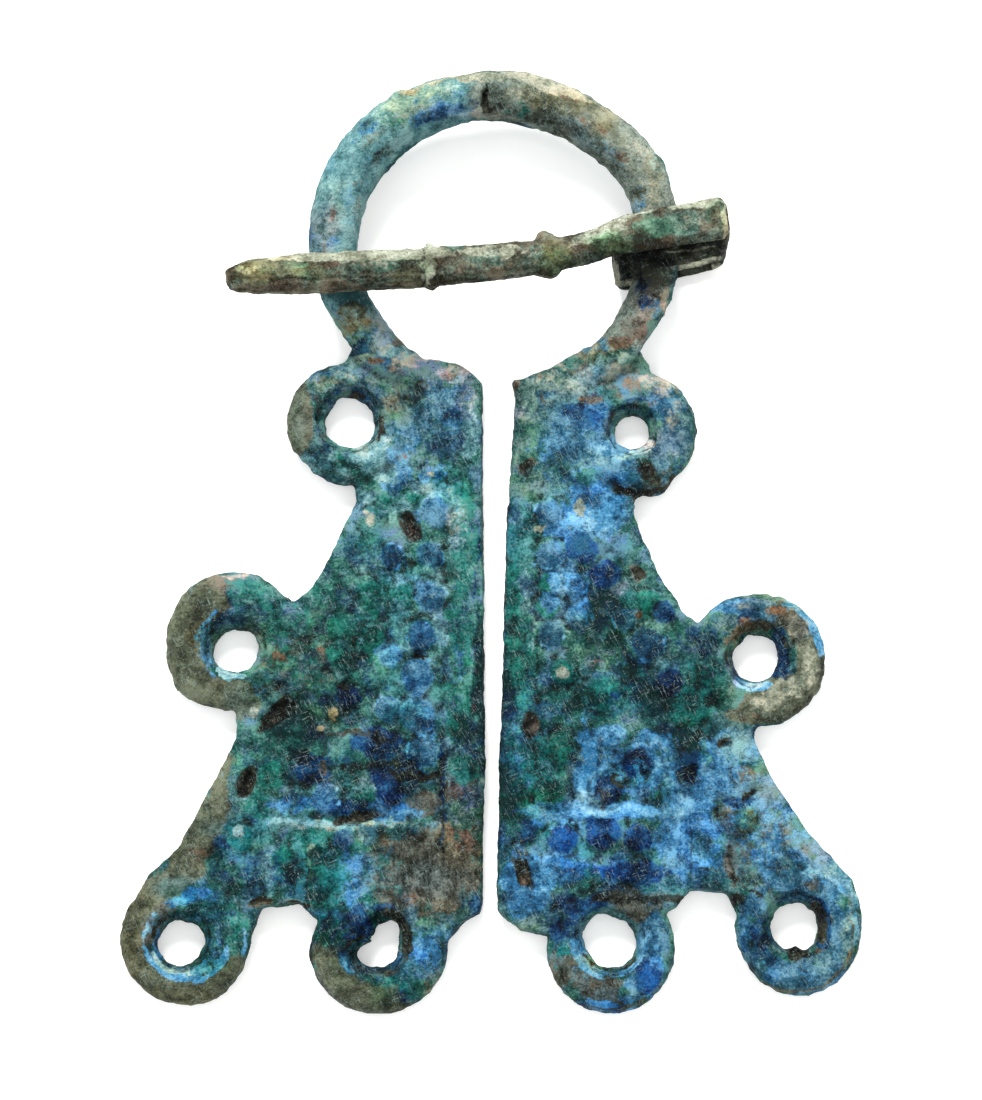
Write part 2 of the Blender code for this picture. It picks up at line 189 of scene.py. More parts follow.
# The minerals on the sides and the back, which the camera doesn't see: (cover, swing, size, seed)
UNSEEN = {
    "azure": (0.34, 0.2, 5, 81),
    "sky": (0.15, 0.2, 4, 80),
    "slate": (0.2, 0.2, 4, 82),
    "haze": (0.3, 0.25, 3, 86),
    "dirt_and_shade": (0.25, 0.25, 3, 84),
    "deep": (0.3, 0.2, 4, 83),
    "green": (0.36, 0.22, 5, 85),
    "brown": (0.42, 0.25, 6, 87),
    "olive": (0.38, 0.25, 6, 88),
    "rust": (0.22, 0.2, 3, 89),
    "pale": (0.25, 0.2, 3, 91),
    "frost_and_highlight": (0.1, 0.2, 3, 93),
    "limb": (0.3, 0.2, 4, 95),
    "grey": (0.3, 0.2, 4, 97),
}
PIN_UNSEEN = {
    "pale": (0.3, 0.25, 2.5, 92),
    "teal": (0.25, 0.25, 2.5, 94),
    "dark": (0.3, 0.25, 2.0, 96),
    "rust": (0.25, 0.25, 2.0, 98),
}

# The minerals' tones, each (dark, middle, light). The grounds mingle all over. The layers lie over them in
# this order, each (cover, place in the pattern, raggedness, tone).
CASTING_GROUNDS = (
    ("#09262a", "#2a595c", "#6d9f9d"),
    ("#072338", "#2a5871", "#74a3b9"),
    ("#052b2a", "#22625a", "#68a797"),
)
CASTING_LAYERS = (
    ("limb", 5.5, 0.8, ("#325c60", "#5f959a", "#93c2c2")),
    ("grey", 6.1, 0.8, ("#414b42", "#74847a", "#a6b1a2")),
    ("brown", 4.1, 1.1, ("#24251c", "#50534a", "#87897b")),
    ("olive", 2.9, 0.9, ("#2b3024", "#585f4b", "#868d75")),
    ("green", 5.3, 1.2, ("#022a28", "#136b60", "#41a08f")),
    ("azure", 7.9, 1.2, ("#0f3958", "#367bab", "#84c6e8")),
    ("haze", 9.7, 1.2, ("#3a6f78", "#74aab0", "#b6e0dc")),
    ("slate", 2.1, 0.5, ("#0a2c45", "#275f80", "#6ea6c2")),
    ("deep", 6.7, 0.8, ("#010d20", "#082f5a", "#2a6a9c")),
    ("sky", 3.3, 1.1, ("#2572a4", "#5fabd8", "#aee4f8")),
    ("dirt_and_shade", 3.7, 0.9, ("#080a08", "#22231c", "#4e4f42")),
    ("rust", 8.3, 1.0, ("#2f241b", "#6f5b49", "#a08c76")),
    ("pale", 9.1, 0.8, ("#66705f", "#a3a993", "#dcd8c0")),
    ("frost_and_highlight", 1.6, 0.6, ("#66a9b8", "#a8dde2", "#f0fffc")),
)
PIN_GROUNDS = (
    ("#2a2b1f", "#5d6050", "#959880"),
    ("#232e26", "#56665a", "#93a08c"),
    ("#2b241a", "#5c5343", "#8d8470"),
)
PIN_LAYERS = (
    ("dark", 4.7, 1.0, ("#12110b", "#302e22", "#58553f")),
    ("teal", 5.9, 1.0, ("#2b4a40", "#5b7a6c", "#9ab3a2")),
    ("rust", 6.1, 1.0, ("#26201a", "#594b3d", "#827361")),
    ("pale", 7.3, 1.0, ("#767a66", "#b2b7a0", "#e4ead6")),
    # This layer is painted shade on the head's inner laps, below the outer lap
    ("recess_shade", 8.7, 0.4, ("#080a08", "#1e1f18", "#44463a")),
    # This layer is a painted highlight along the edges of the head's inner laps
    ("rim", 9.4, 0.5, ("#4c4e40", "#8a8c78", "#c2c6ae")),
)
# How thickly fibres lie on each piece, and what is drawn over the minerals: (strength, colour)
CASTING_FIBRES = 0.4
PIN_FIBRES = 0.25
# Dirt and painted shade in the crevices, darkest where the surface lies in a hollow: (strength, colour)
CREVICE_DIRT_AND_SHADE = (0.85, "#0b0f0b")
PITS = (0.7, "#0b1310")
CRACKS = (0.5, "#0b1310")
FIBRE_COLOUR = "#a9c7c2"
GRAIN_COLOUR = "#bcd2ca"
GRAINS = 0.7
# The skin's sheen, its roughness from crests to hollows, and its finest relief
SHEEN = 0.06
ROUGHNESS = (0.55, 0.9)
BUMP_HEIGHT = 0.3
BUMP_STRENGTH = 0.9

Patch = namedtuple("Patch", "x y wide high strength turn", defaults=(1.0, 0))
Eyelet = namedtuple("Eyelet", "x y outer hole_x hole_y hole")
Lump = namedtuple("Lump", "x y wide high rise turn", defaults=(0,))
Line = namedtuple("Line", "x0 y0 x1 y1 half rise")
Crust = namedtuple("Crust", "eyelet angle growth reach")
Arc = namedtuple("Arc", "eyelet radius start end half strength", defaults=(1.0,))


def each(kind, rows):
    """One mark of a kind for each row of its numbers."""
    return [kind(*row) for row in rows]


# The eyelets: the rim's middle and radius, then the hole's
EYELETS = {
    "L1": Eyelet(349, 423, 65, 351, 425, 27),
    "L2": Eyelet(234, 644, 70, 236, 651, 23),
    "L3": Eyelet(183, 938, 66, 181, 941, 25),
    "L4": Eyelet(381, 945, 68, 378, 942, 28),
    "R1": Eyelet(634, 432, 64, 632, 432, 18),
    "R2": Eyelet(761, 658, 68, 756, 657, 25),
    "R3": Eyelet(796, 930, 64, 795, 926, 25),
    "R4": Eyelet(611, 948, 64, 610, 940, 28),
}
# The hoop's middle line: its middle and half its width and height
HOOP = (492, 225, 156, 132)

# Pellets, as (x, y, radius), by the mineral that covers them
SLATE_PELLETS = (
    (435, 512, 15), (430, 555, 14), (392, 557, 13), (431, 597, 15), (421, 636, 15), (417, 677, 16),
    (388, 709, 13), (418, 716, 17), (548, 513, 13), (551, 555, 14), (647, 643, 17), (552, 634, 14),
    (325, 799, 14), (343, 838, 10), (577, 588, 12), (625, 619, 12), (423, 751, 16),
)
DEEP_PELLETS = (
    (582, 547, 17), (605, 573, 16), (668, 683, 15), (562, 838, 15), (638, 838, 14), (637, 762, 16),
    (608, 790, 15), (664, 612, 12), (391, 785, 15), (347, 697, 11), (603, 830, 19),
)
GREEN_PELLETS = (
    (402, 597, 12), (367, 592, 13), (338, 625, 13), (338, 657, 13), (272, 773, 15), (257, 805, 15),
    (312, 842, 17), (239, 838, 13), (363, 797, 12), (560, 750, 16), (553, 794, 15), (690, 706, 18),
    (603, 690, 17), (590, 877, 14), (663, 787, 16), (465, 768, 16), (549, 584, 12), (548, 606, 12),
    (650, 600, 11), (563, 672, 13), (371, 640, 13), (630, 600, 11),
)
DULL_PELLETS = (
    (350, 752, 22), (431, 476, 12), (737, 818, 17), (750, 773, 13), (523, 863, 14), (630, 873, 14),
    (302, 803, 13), (298, 735, 14), (371, 521, 12), (371, 672, 13), (700, 757, 13), (545, 712, 12),
    (423, 803, 15),
)

# Raised and sunken lines, from end to end, with half their width and their height
RIDGES = each(Line, (
    (262, 823, 440, 829, 8, 0.24), (555, 812, 705, 809, 9, 0.22), (582, 762, 583, 868, 6, 0.12),
    (655, 728, 657, 775, 6, 0.12), (640, 608, 690, 668, 8, 0.18), (470, 400, 469, 500, 12, 0.08),
    (268, 835, 271, 900, 4, 0.1), (446, 490, 444, 812, 4, -0.1), (540, 480, 536, 800, 4, -0.12),
    (441, 735, 440, 850, 3, -0.08), (728, 845, 731, 885, 5, -0.12), (690, 830, 692, 880, 3, -0.08),
    (700, 690, 760, 752, 8, -0.12),
))

# Lumps and casting holes, with their height
LUMPS = each(Lump, (
    (409, 526, 7, 16, -0.6, 18), (420, 656, 9, 4, -0.3, 5), (277, 714, 8, 26, -0.4, -48),
    (246, 783, 7, 15, -0.45, -25), (533, 724, 11, 13, -0.3), (636, 574, 9, 8, -0.3),
    (524, 872, 6, 18, -0.25, 25), (727, 743, 8, 5, -0.22, 20), (747, 794, 9, 5, -0.22, 30),
    (348, 818, 26, 7, -0.25), (347, 684, 9, 7, -0.25), (527, 466, 10, 9, -0.2), (637, 470, 16, 10, -0.2),
    (417, 394, 22, 10, -0.2, 40), (397, 402, 12, 12, 0.12), (322, 655, 6, 6, 0.2), (333, 712, 7, 7, 0.25),
    (320, 726, 8, 6, 0.2), (252, 713, 8, 6, 0.15), (278, 657, 8, 6, 0.15), (539, 531, 6, 5, 0.15),
    (563, 670, 5, 5, 0.15), (485, 98, 5, 13, -0.5), (395, 96, 10, 6, 0.15, 30), (548, 137, 12, 7, 0.18),
    (664, 165, 8, 16, 0.15, 30), (440, 116, 28, 7, -0.12, 15), (516, 384, 6, 6, 0.15),
    (484, 760, 5, 60, 0.1), (660, 893, 12, 5, 0.15), (273, 903, 22, 4, 0.12),
))

# What grows into the eyelets' holes, in millimetres, with angles counted from the right
CRUSTS = each(Crust, (
    ("L4", 150, 1.02, 66), ("L1", 12, 0.16, 30), ("L1", 95, -0.12, 40), ("L2", 125, -0.06, 50),
    ("L3", 70, 0.15, 30), ("L3", 150, 0.04, 40), ("R2", 140, 0.2, 34), ("R3", 268, 0.3, 26),
    ("R4", 75, 0.14, 30), ("R4", 215, 0.14, 26), ("L4", 92, 0.55, 44), ("L4", 184, 0.25, 24),
    ("L4", -8, 0.34, 56), ("L4", 285, 0.12, 50), ("R1", 180, -0.1, 1000), ("L2", 262, 0.08, 50),
    ("R2", 250, -0.13, 50), ("R2", 60, -0.08, 40), ("R4", 130, -0.12, 60), ("L3", 315, 0.12, 60),
    ("R3", 0, 0.06, 60),
))

# How far the eyelets' rims have grown outwards or worn away
RIM_CRUSTS = each(Crust, (
    ("R1", 292, 0.3, 20), ("R1", 268, 0.36, 14), ("L1", 222, -0.16, 28), ("L2", 128, 0.12, 20),
    ("R3", 210, -0.14, 34), ("R2", 142, 0.06, 16), ("R4", 158, 0.2, 14), ("L2", 222, 0.26, 46),
    ("L2", 55, -0.18, 26), ("L4", 205, 0.26, 50), ("L4", 255, 0.1, 40), ("L3", 300, 0.14, 40),
    ("R3", 275, 0.12, 50), ("R2", 90, -0.14, 60), ("R2", 285, 0.08, 30), ("R3", 20, 0.08, 40),
))

# Patches of minerals: the middle, half the width and height, then strength and turn. Azure, deep,
# slate and sky are blues, haze is a pale bloom, brown and olive are bare metal, rust and pale are soil.
AZURE = each(Patch, (
    (592, 519, 30, 20), (606, 500, 44, 18, 0.8), (562, 577, 15, 24, 0.9), (557, 532, 14, 10),
    (550, 603, 12, 10, 0.8), (577, 598, 12, 26, 0.7), (600, 738, 26, 12, 0.8), (650, 741, 26, 14, 0.8),
    (587, 774, 15, 22), (602, 765, 30, 34, 0.68), (690, 792, 34, 42, 0.75), (655, 772, 30, 26, 0.62),
    (560, 872, 52, 16, 0.7), (524, 884, 24, 34, 0.85), (600, 811, 90, 9, 0.95), (688, 840, 36, 42, 0.72),
    (735, 745, 34, 16, 0.72), (722, 775, 24, 22, 0.66), (760, 805, 44, 44, 0.55), (790, 855, 44, 36, 0.6),
    (838, 872, 16, 18, 0.85), (850, 925, 9, 44, 0.6), (820, 982, 38, 16, 0.66), (752, 956, 12, 30, 0.45),
    (577, 950, 8, 24, 0.7), (607, 1004, 32, 9), (650, 950, 14, 44, 0.7), (640, 986, 22, 14, 0.7),
    (742, 608, 32, 11, 0.85), (814, 645, 9, 34, 0.7), (600, 456, 44, 20, 0.72), (582, 416, 26, 14, 0.8),
    (562, 440, 34, 40, 0.5), (545, 395, 24, 18, 0.45), (664, 405, 24, 26, 0.5), (668, 455, 24, 18, 0.5),
    (625, 490, 16, 18, 0.5), (390, 650, 15, 22, 0.85), (452, 662, 12, 24, 0.5), (391, 712, 13, 13, 0.8),
    (412, 708, 22, 22, 0.6), (390, 812, 26, 10), (350, 862, 11, 44, 0.42), (355, 902, 12, 20, 0.55),
    (292, 806, 26, 11, 0.62), (325, 798, 14, 12, 0.62), (427, 950, 18, 16, 0.7), (432, 934, 24, 16, 0.55),
    (183, 897, 32, 10, 0.85), (205, 976, 34, 11, 0.68), (212, 950, 12, 26, 0.5), (159, 948, 6, 24, 0.85),
    (206, 642, 6, 34, 0.85), (250, 690, 22, 8, 0.5), (330, 373, 34, 11, 0.45), (395, 470, 20, 30, 0.62),
    (431, 474, 15, 12, 0.75), (405, 438, 16, 20, 0.5), (440, 405, 36, 28, 0.5), (385, 358, 16, 12, 0.62),
    (378, 336, 14, 14, 0.55), (334, 243, 9, 6, 0.6), (314, 240, 7, 22, 0.4), (596, 347, 20, 9, 0.6),
    (425, 105, 40, 10, 0.36, 18), (352, 180, 12, 30, 0.3, -35), (442, 112, 34, 8, 0.66, 14),
    (775, 1000, 24, 10, 0.7), (389, 814, 34, 10, 1.1), (366, 832, 12, 12, 0.8), (350, 352, 12, 8, 0.5),
    (352, 340, 20, 8, 0.5), (610, 150, 26, 6, 0.42, -45), (636, 200, 8, 22, 0.42), (350, 205, 6, 34, 0.42),
    (652, 300, 12, 20, 0.42), (375, 125, 30, 6, 0.42, 40),
))
DEEP = each(Patch, (
    (390, 786, 16, 20, 1.4), (380, 742, 28, 14, 1.05), (347, 808, 22, 11, 0.6), (350, 692, 14, 12),
    (310, 770, 17, 15), (395, 768, 30, 18, 0.75), (330, 702, 16, 12, 0.55), (441, 795, 3, 60, 0.8),
    (312, 462, 26, 13, 0.4), (366, 396, 20, 15, 0.5), (357, 350, 14, 8, 0.9), (450, 430, 34, 40, 0.42),
    (332, 925, 16, 20, 0.5), (384, 906, 22, 7, 0.6), (268, 868, 40, 24, 0.5), (582, 416, 24, 13, 0.62),
    (700, 640, 30, 18, 0.5), (740, 660, 14, 30, 0.5), (782, 652, 8, 28, 0.9), (632, 872, 44, 12, 0.8),
    (578, 906, 34, 13, 0.7), (560, 930, 14, 16, 0.66), (647, 976, 14, 22, 0.85), (590, 1010, 24, 7, 0.6),
    (762, 934, 14, 26, 0.55), (692, 772, 10, 10, 0.85), (737, 800, 16, 8, 0.85),
    (442, 114, 26, 5, 0.44, 14), (467, 103, 14, 7, 0.45), (642, 292, 10, 18, 0.6), (475, 905, 8, 16, 0.7),
    (620, 655, 14, 60, 0.42, 30), (530, 690, 10, 30, 0.4), (220, 862, 18, 20, 0.42),
    (376, 690, 14, 30, 0.4), (360, 930, 14, 20, 0.8, -20), (700, 620, 24, 30, 0.4),
    (600, 706, 40, 18, 0.42), (492, 660, 3, 240, 0.5), (477, 650, 3, 250, 0.5), (620, 690, 20, 8, 0.5, 30),
))
GREEN = each(Patch, (
    (330, 840, 36, 28, 0.75), (322, 880, 32, 30, 0.62), (365, 915, 20, 26, 0.6), (240, 592, 36, 15, 0.75),
    (275, 602, 20, 12, 0.6), (228, 670, 26, 5, 0.95), (465, 540, 14, 70, 0.62), (460, 640, 16, 60, 0.55),
    (457, 710, 18, 40, 0.6), (394, 986, 15, 11), (376, 620, 22, 44, 0.6), (512, 600, 9, 90, 0.75),
    (522, 670, 18, 60, 0.6), (602, 700, 44, 24, 0.6), (650, 705, 36, 20, 0.5), (690, 706, 26, 24),
    (545, 775, 22, 52, 0.7), (518, 775, 12, 60, 0.55), (650, 602, 14, 16, 0.62), (704, 680, 28, 24, 0.62),
    (310, 600, 40, 30, 0.42), (350, 640, 40, 40, 0.5), (280, 660, 40, 40, 0.42), (793, 868, 9, 14, 0.8),
    (190, 935, 50, 30, 0.4), (345, 470, 40, 16, 0.45), (517, 110, 16, 10, 0.5), (230, 930, 20, 40, 0.5),
    (565, 958, 10, 14, 0.7), (640, 905, 24, 10, 0.4), (382, 505, 20, 14, 0.5), (412, 500, 14, 8, 0.8),
    (390, 125, 24, 18, 0.4), (294, 857, 22, 26, 0.8), (325, 930, 17, 20, 0.75), (376, 758, 30, 10, 0.42),
    (400, 712, 26, 8, 0.36), (206, 960, 14, 9, 0.6),
))
BROWN = each(Patch, (
    (433, 872, 40, 44, 0.86), (400, 885, 32, 36, 0.6), (383, 853, 24, 20, 0.55), (423, 804, 17, 13, 0.8),
    (318, 388, 12, 14, 0.45), (325, 958, 9, 20, 0.75), (397, 402, 16, 12, 0.5), (408, 374, 22, 9, 0.45),
    (262, 905, 14, 6, 0.85), (750, 773, 14, 8), (737, 820, 17, 19), (765, 850, 46, 50, 0.5),
    (802, 880, 22, 11, 0.75), (729, 862, 6, 26, 0.85), (640, 900, 36, 11, 0.85), (562, 966, 15, 22, 0.85),
    (600, 984, 36, 9, 0.8), (521, 863, 11, 18, 0.85), (545, 400, 24, 12, 0.4), (516, 385, 7, 7),
    (600, 372, 30, 14, 0.5), (632, 332, 16, 16, 0.8), (400, 344, 12, 8, 0.85), (388, 133, 18, 7, 0.4),
    (329, 214, 8, 10, 0.55), (500, 112, 16, 12, 0.55), (470, 775, 9, 20, 0.5), (300, 660, 60, 30, 0.36),
    (620, 390, 30, 12, 0.5), (655, 470, 30, 14, 0.45), (812, 985, 20, 6, 0.5), (852, 925, 3, 50, 0.7),
    (610, 790, 16, 10, 0.45), (560, 905, 16, 5, 0.6), (590, 610, 20, 8, 0.4), (636, 574, 12, 10, 0.75),
    (527, 466, 12, 10, 0.6), (146, 915, 24, 44, 0.9, -20), (134, 962, 15, 34, 0.85),
    (180, 996, 52, 12, 0.93), (236, 972, 13, 30, 0.6, -20), (336, 985, 22, 28, 0.97),
    (364, 1003, 34, 9, 0.95), (402, 1009, 26, 7, 0.75), (434, 984, 10, 20, 0.66),
    (545, 122, 40, 7, 0.55, -14), (600, 152, 24, 6, 0.45, -42), (395, 128, 26, 5, 0.4, 36),
    (322, 262, 10, 22, 0.42), (360, 200, 5, 36, 0.4), (300, 395, 10, 20, 0.42), (467, 864, 14, 40, 0.74),
    (452, 792, 16, 12, 0.6),
))
OLIVE = each(Patch, (
    (196, 840, 20, 56, 0.97, -24), (219, 785, 11, 40, 0.9, -20), (184, 640, 22, 64, 0.97),
    (212, 700, 42, 24, 0.88), (214, 583, 34, 9, 0.72), (180, 600, 20, 16, 0.85), (299, 420, 16, 38, 0.95),
    (789, 693, 38, 20, 0.97), (812, 672, 14, 26, 0.85), (780, 620, 26, 10, 0.62), (734, 660, 9, 26, 0.5),
    (752, 716, 26, 10, 0.92), (556, 100, 50, 16, 0.7, -15), (604, 134, 30, 16, 0.55, -35),
    (636, 176, 10, 30, 0.5), (352, 316, 20, 18, 0.7), (345, 262, 14, 14, 0.5), (370, 140, 20, 8, 0.42, 45),
))
RUST = each(Patch, (
    (632, 383, 11, 8, 0.6), (590, 399, 13, 5, 0.7), (449, 375, 10, 6, 0.57), (553, 109, 10, 8, 0.3),
    (592, 127, 18, 6, 0.45, -30), (622, 155, 12, 6, 0.55, -35), (621, 341, 14, 9, 0.61),
    (640, 322, 8, 6, 0.49), (774, 611, 13, 5, 0.66), (745, 622, 8, 6, 0.66), (606, 985, 16, 5, 0.45),
    (533, 724, 9, 11, 0.7), (640, 614, 5, 5, 0.74), (278, 657, 8, 6, 0.66), (321, 651, 5, 6, 0.7),
    (406, 892, 22, 26, 0.34), (197, 858, 12, 12, 0.51), (525, 880, 5, 6, 0.7), (729, 862, 4, 18, 0.49),
    (374, 361, 10, 5, 0.57), (402, 456, 8, 5, 0.41), (600, 660, 16, 6, 0.41, 30), (752, 717, 18, 5, 0.41),
    (321, 770, 5, 9, 0.57), (850, 905, 4, 20, 0.41), (640, 405, 24, 5, 0.3), (475, 720, 4, 30, 0.33),
    (533, 726, 6, 8, 0.8), (526, 876, 4, 9, 0.8), (280, 712, 4, 16, 0.5, -48), (248, 786, 3, 8, 0.5),
    (410, 530, 3, 8, 0.5), (646, 212, 10, 8, 0.42), (570, 100, 16, 5, 0.36, -20), (335, 270, 8, 12, 0.36),
))
PALE = each(Patch, (
    (484, 76, 74, 5, 1.1), (421, 88, 22, 5, 0.7, 24), (545, 81, 34, 6, 0.9, -18), (580, 508, 6, 7, 0.8),
    # (646, 447) is a painted highlight on the lit south wall of R1's hole
    (345, 825, 88, 4, 0.4), (646, 447, 12, 3, 0.9, 30), (664, 388, 22, 12, 0.5), (622, 372, 22, 10, 0.42),
    (664, 298, 7, 16, 0.6), (636, 146, 24, 9, 0.5, -40), (648, 190, 9, 18, 0.42), (365, 445, 16, 18, 0.42),
    (402, 364, 22, 9, 0.55), (310, 880, 4, 30, 0.4), (321, 727, 7, 4, 0.9), (334, 712, 5, 8, 0.8),
    (252, 713, 7, 5, 0.6), (540, 530, 5, 4, 0.8), (563, 671, 6, 6, 0.8), (370, 521, 6, 7, 0.6),
    (431, 473, 5, 4, 0.8), (524, 96, 24, 8, 0.5), (238, 833, 7, 5, 0.75), (312, 846, 6, 4, 0.7),
    (330, 378, 40, 9, 0.36), (800, 632, 16, 26, 0.4), (660, 892, 11, 5, 0.5), (222, 575, 30, 4, 0.55),
    (455, 512, 14, 26, 0.42), (460, 370, 24, 8, 0.5), (560, 372, 40, 10, 0.42),
    (790, 688, 36, 15, 0.62, 30), (812, 660, 10, 24, 0.62), (768, 702, 18, 9, 0.55),
    (560, 92, 40, 6, 0.7, -20), (675, 415, 10, 30, 0.42), (740, 606, 20, 5, 0.42), (438, 359, 26, 4, 0.6),
    (655, 378, 20, 8, 0.5),
))
HAZE = each(Patch, (
    (322, 195, 9, 40, 0.5, 6), (382, 112, 36, 8, 0.5, 34), (430, 92, 34, 7, 0.6, 12),
    (640, 345, 16, 9, 0.5), (396, 355, 26, 9, 0.66, -20), (458, 374, 26, 8, 0.72), (560, 384, 42, 12, 0.62),
    (528, 402, 14, 20, 0.5), (604, 366, 26, 9, 0.6, 20), (470, 425, 10, 44, 0.6), (366, 445, 20, 26, 0.72),
    (380, 470, 20, 14, 0.6), (350, 500, 34, 14, 0.55), (400, 500, 14, 30, 0.5), (430, 490, 34, 8, 0.55),
    (456, 520, 12, 34, 0.5), (398, 622, 16, 30, 0.6), (400, 575, 30, 7, 0.5), (440, 600, 8, 60, 0.5),
    (360, 575, 20, 8, 0.4), (330, 790, 60, 8, 0.4), (330, 824, 80, 5, 0.55), (300, 870, 7, 40, 0.6),
    (272, 870, 6, 40, 0.5), (240, 900, 24, 12, 0.4), (310, 390, 20, 12, 0.4), (340, 372, 20, 7, 0.5),
    (335, 474, 26, 7, 0.4), (255, 600, 30, 6, 0.4), (200, 975, 40, 10, 0.3), (640, 455, 24, 8, 0.6),
    (680, 425, 8, 34, 0.5), (530, 600, 8, 60, 0.3), (640, 625, 34, 6, 0.4, -40),
    (775, 850, 30, 10, 0.4, -40), (745, 960, 8, 40, 0.4), (380, 690, 8, 60, 0.35), (250, 760, 8, 60, 0.35),
    # (232, 677) is a painted highlight on the lit south wall of L2's hole
    (330, 600, 60, 8, 0.3), (232, 677, 20, 4, 0.9), (315, 465, 24, 12, 0.6), (352, 320, 12, 14, 0.4),
    (212, 590, 20, 8, 0.5), (352, 358, 26, 9, 0.55), (660, 170, 8, 30, 0.42, 30),
    (585, 100, 24, 6, 0.42, -30),
))
SLATE = each(Patch, (
    (575, 425, 44, 44, 0.56), (620, 480, 30, 24, 0.5), (430, 420, 44, 40, 0.5), (556, 470, 30, 20, 0.42),
    (700, 830, 60, 30, 0.42),
))
SKY = each(Patch, (
    (620, 500, 24, 16, 0.5), (592, 520, 24, 12, 0.6), (600, 455, 26, 12, 0.4), (584, 605, 8, 34, 0.4),
    (585, 765, 8, 50, 0.7), (620, 811, 60, 6, 0.8), (604, 732, 30, 7, 0.4), (650, 740, 24, 8, 0.5),
    (560, 860, 40, 10, 0.5), (545, 880, 7, 34, 0.6), (850, 895, 6, 34, 0.6), (815, 640, 7, 40, 0.6),
    (790, 610, 24, 7, 0.6, -30), (658, 950, 6, 30, 0.4), (592, 519, 22, 13, 0.9), (562, 577, 9, 18, 0.8),
    (586, 772, 9, 22, 0.9), (600, 738, 24, 6, 0.45), (640, 770, 6, 20, 0.5), (668, 790, 8, 30, 0.6),
    (553, 820, 30, 6, 0.5), (520, 850, 6, 14, 0.4), (428, 948, 12, 12, 0.5), (392, 650, 8, 14, 0.5),
    (840, 872, 12, 12, 0.6),
))

# Bands and lines that follow the eyelets, with angles counted from the right
OLIVE_ARCS = each(Arc, (
    ("L1", 54, 150, 208, 11, 0.64), ("L2", 53, 100, 292, 17), ("L3", 54, 92, 338, 13),
    ("L4", 55, 182, 292, 14, 0.72), ("R2", 52, -112, 22, 14),
))
BROWN_ARCS = each(Arc, (
    ("L2", 37, 95, 150, 5, 0.7), ("R2", 50, 20, 75, 12, 0.9), ("R2", 31, 60, 160, 6, 0.9),
    ("R3", 35, -50, 22, 3, 1.1), ("R4", 47, 192, 285, 10, 0.8), ("R4", 46, 32, 82, 10, 0.7),
    ("L1", 31, 150, 215, 6, 0.5), ("R1", 27, 130, 185, 4, 0.7), ("L4", 33, 215, 330, 3, 0.8),
    ("R3", 60, -66, 60, 1.6, 0.8), ("R3", 61, -125, -60, 1.6, 0.6), ("R4", 61, 205, 330, 2, 0.6),
    ("L2", 67, 100, 175, 1.5, 0.9), ("R3", 37, 55, 110, 5, 0.4), ("L3", 62, 185, 330, 2, 0.4),
    ("R1", 58, 246, 300, 6, 0.9), ("R1", 52, 60, 130, 7, 0.45),
))
SKY_ARCS = each(Arc, (
    ("L2", 37, 118, 240, 2.5, 0.6), ("L3", 35, 125, 262, 4, 0.72), ("L3", 35, 235, 330, 6, 0.72),
    ("L3", 45, 285, 352, 3, 0.85), ("R4", 36, 178, 262, 5, 0.85), ("R3", 62, -10, 72, 2.5, 0.85),
    ("R2", 62, 0, 66, 4), ("R2", 30, 222, 300, 4, 0.9), ("L4", 40, 185, 250, 3, 0.5),
    ("R4", 34, 262, 338, 3, 0.7), ("L3", 62, 345, 372, 3, 0.7), ("R4", 57, 235, 275, 4, 0.6),
    ("R3", 48, 215, 330, 5, 0.42), ("R3", 50, -10, 50, 5, 0.42),
))
SLATE_ARCS = each(Arc, (
    ("R3", 46, -180, 180, 14, 0.66), ("R1", 44, -120, 110, 16, 0.6), ("R4", 47, -62, 40, 13, 0.66),
    ("R2", 48, 68, 132, 12, 0.56), ("R1", 34, 100, 200, 6, 0.5), ("L4", 38, 175, 250, 6, 0.8),
))
DEEP_ARCS = each(Arc, (
    ("R3", 32, -40, 56, 5, 1.4), ("R2", 29, -38, 38, 5, 1.1), ("R3", 40, 165, 215, 7, 0.7),
    ("L1", 33, 55, 125, 6, 0.7), ("R1", 30, 60, 130, 5, 0.6), ("L4", 36, 110, 200, 7, 0.6),
    ("R4", 40, 95, 160, 8, 0.8), ("R2", 46, 95, 150, 6, 0.6),
))
# Dark arcs drawn with the dirt's colour: mostly painted shade on the holes' upper and right walls, with
# some dark crust
DARK_ARCS = each(Arc, (
    ("L1", 31, -34, 14, 3), ("L1", 30, 60, 120, 4, 0.6), ("L3", 28, 95, 178, 3, 0.9),
    ("L4", 31, -42, 118, 4), ("R4", 29, 205, 325, 1.5, 0.8), ("R1", 60, 252, 312, 4, 0.9),
    ("R3", 29, -36, 54, 4, 1.1), ("L2", 28, 20, 90, 3, 0.6),
))
# Pale arcs on the holes' south walls, which face the light: painted highlights
HIGHLIGHT_ARCS = each(Arc, (
    ("L2", 25, 225, 290, 2.5, 1.5), ("R1", 22, 262, 338, 3, 1.5), ("L3", 31, 200, 300, 2, 0.6),
    ("R2", 28, 250, 290, 2, 0.6), ("L1", 40, -70, -20, 6, 0.5),
))

# Where the metal's fine upright scratches show
BRUSHED = each(Patch, (
    (430, 870, 46, 50, 0.9), (467, 620, 14, 300, 0.6), (518, 620, 14, 260, 0.5), (440, 430, 44, 60, 0.7),
    (540, 420, 30, 50, 0.4), (690, 840, 26, 50, 0.7), (640, 870, 40, 20, 0.4), (300, 870, 50, 34, 0.4),
))
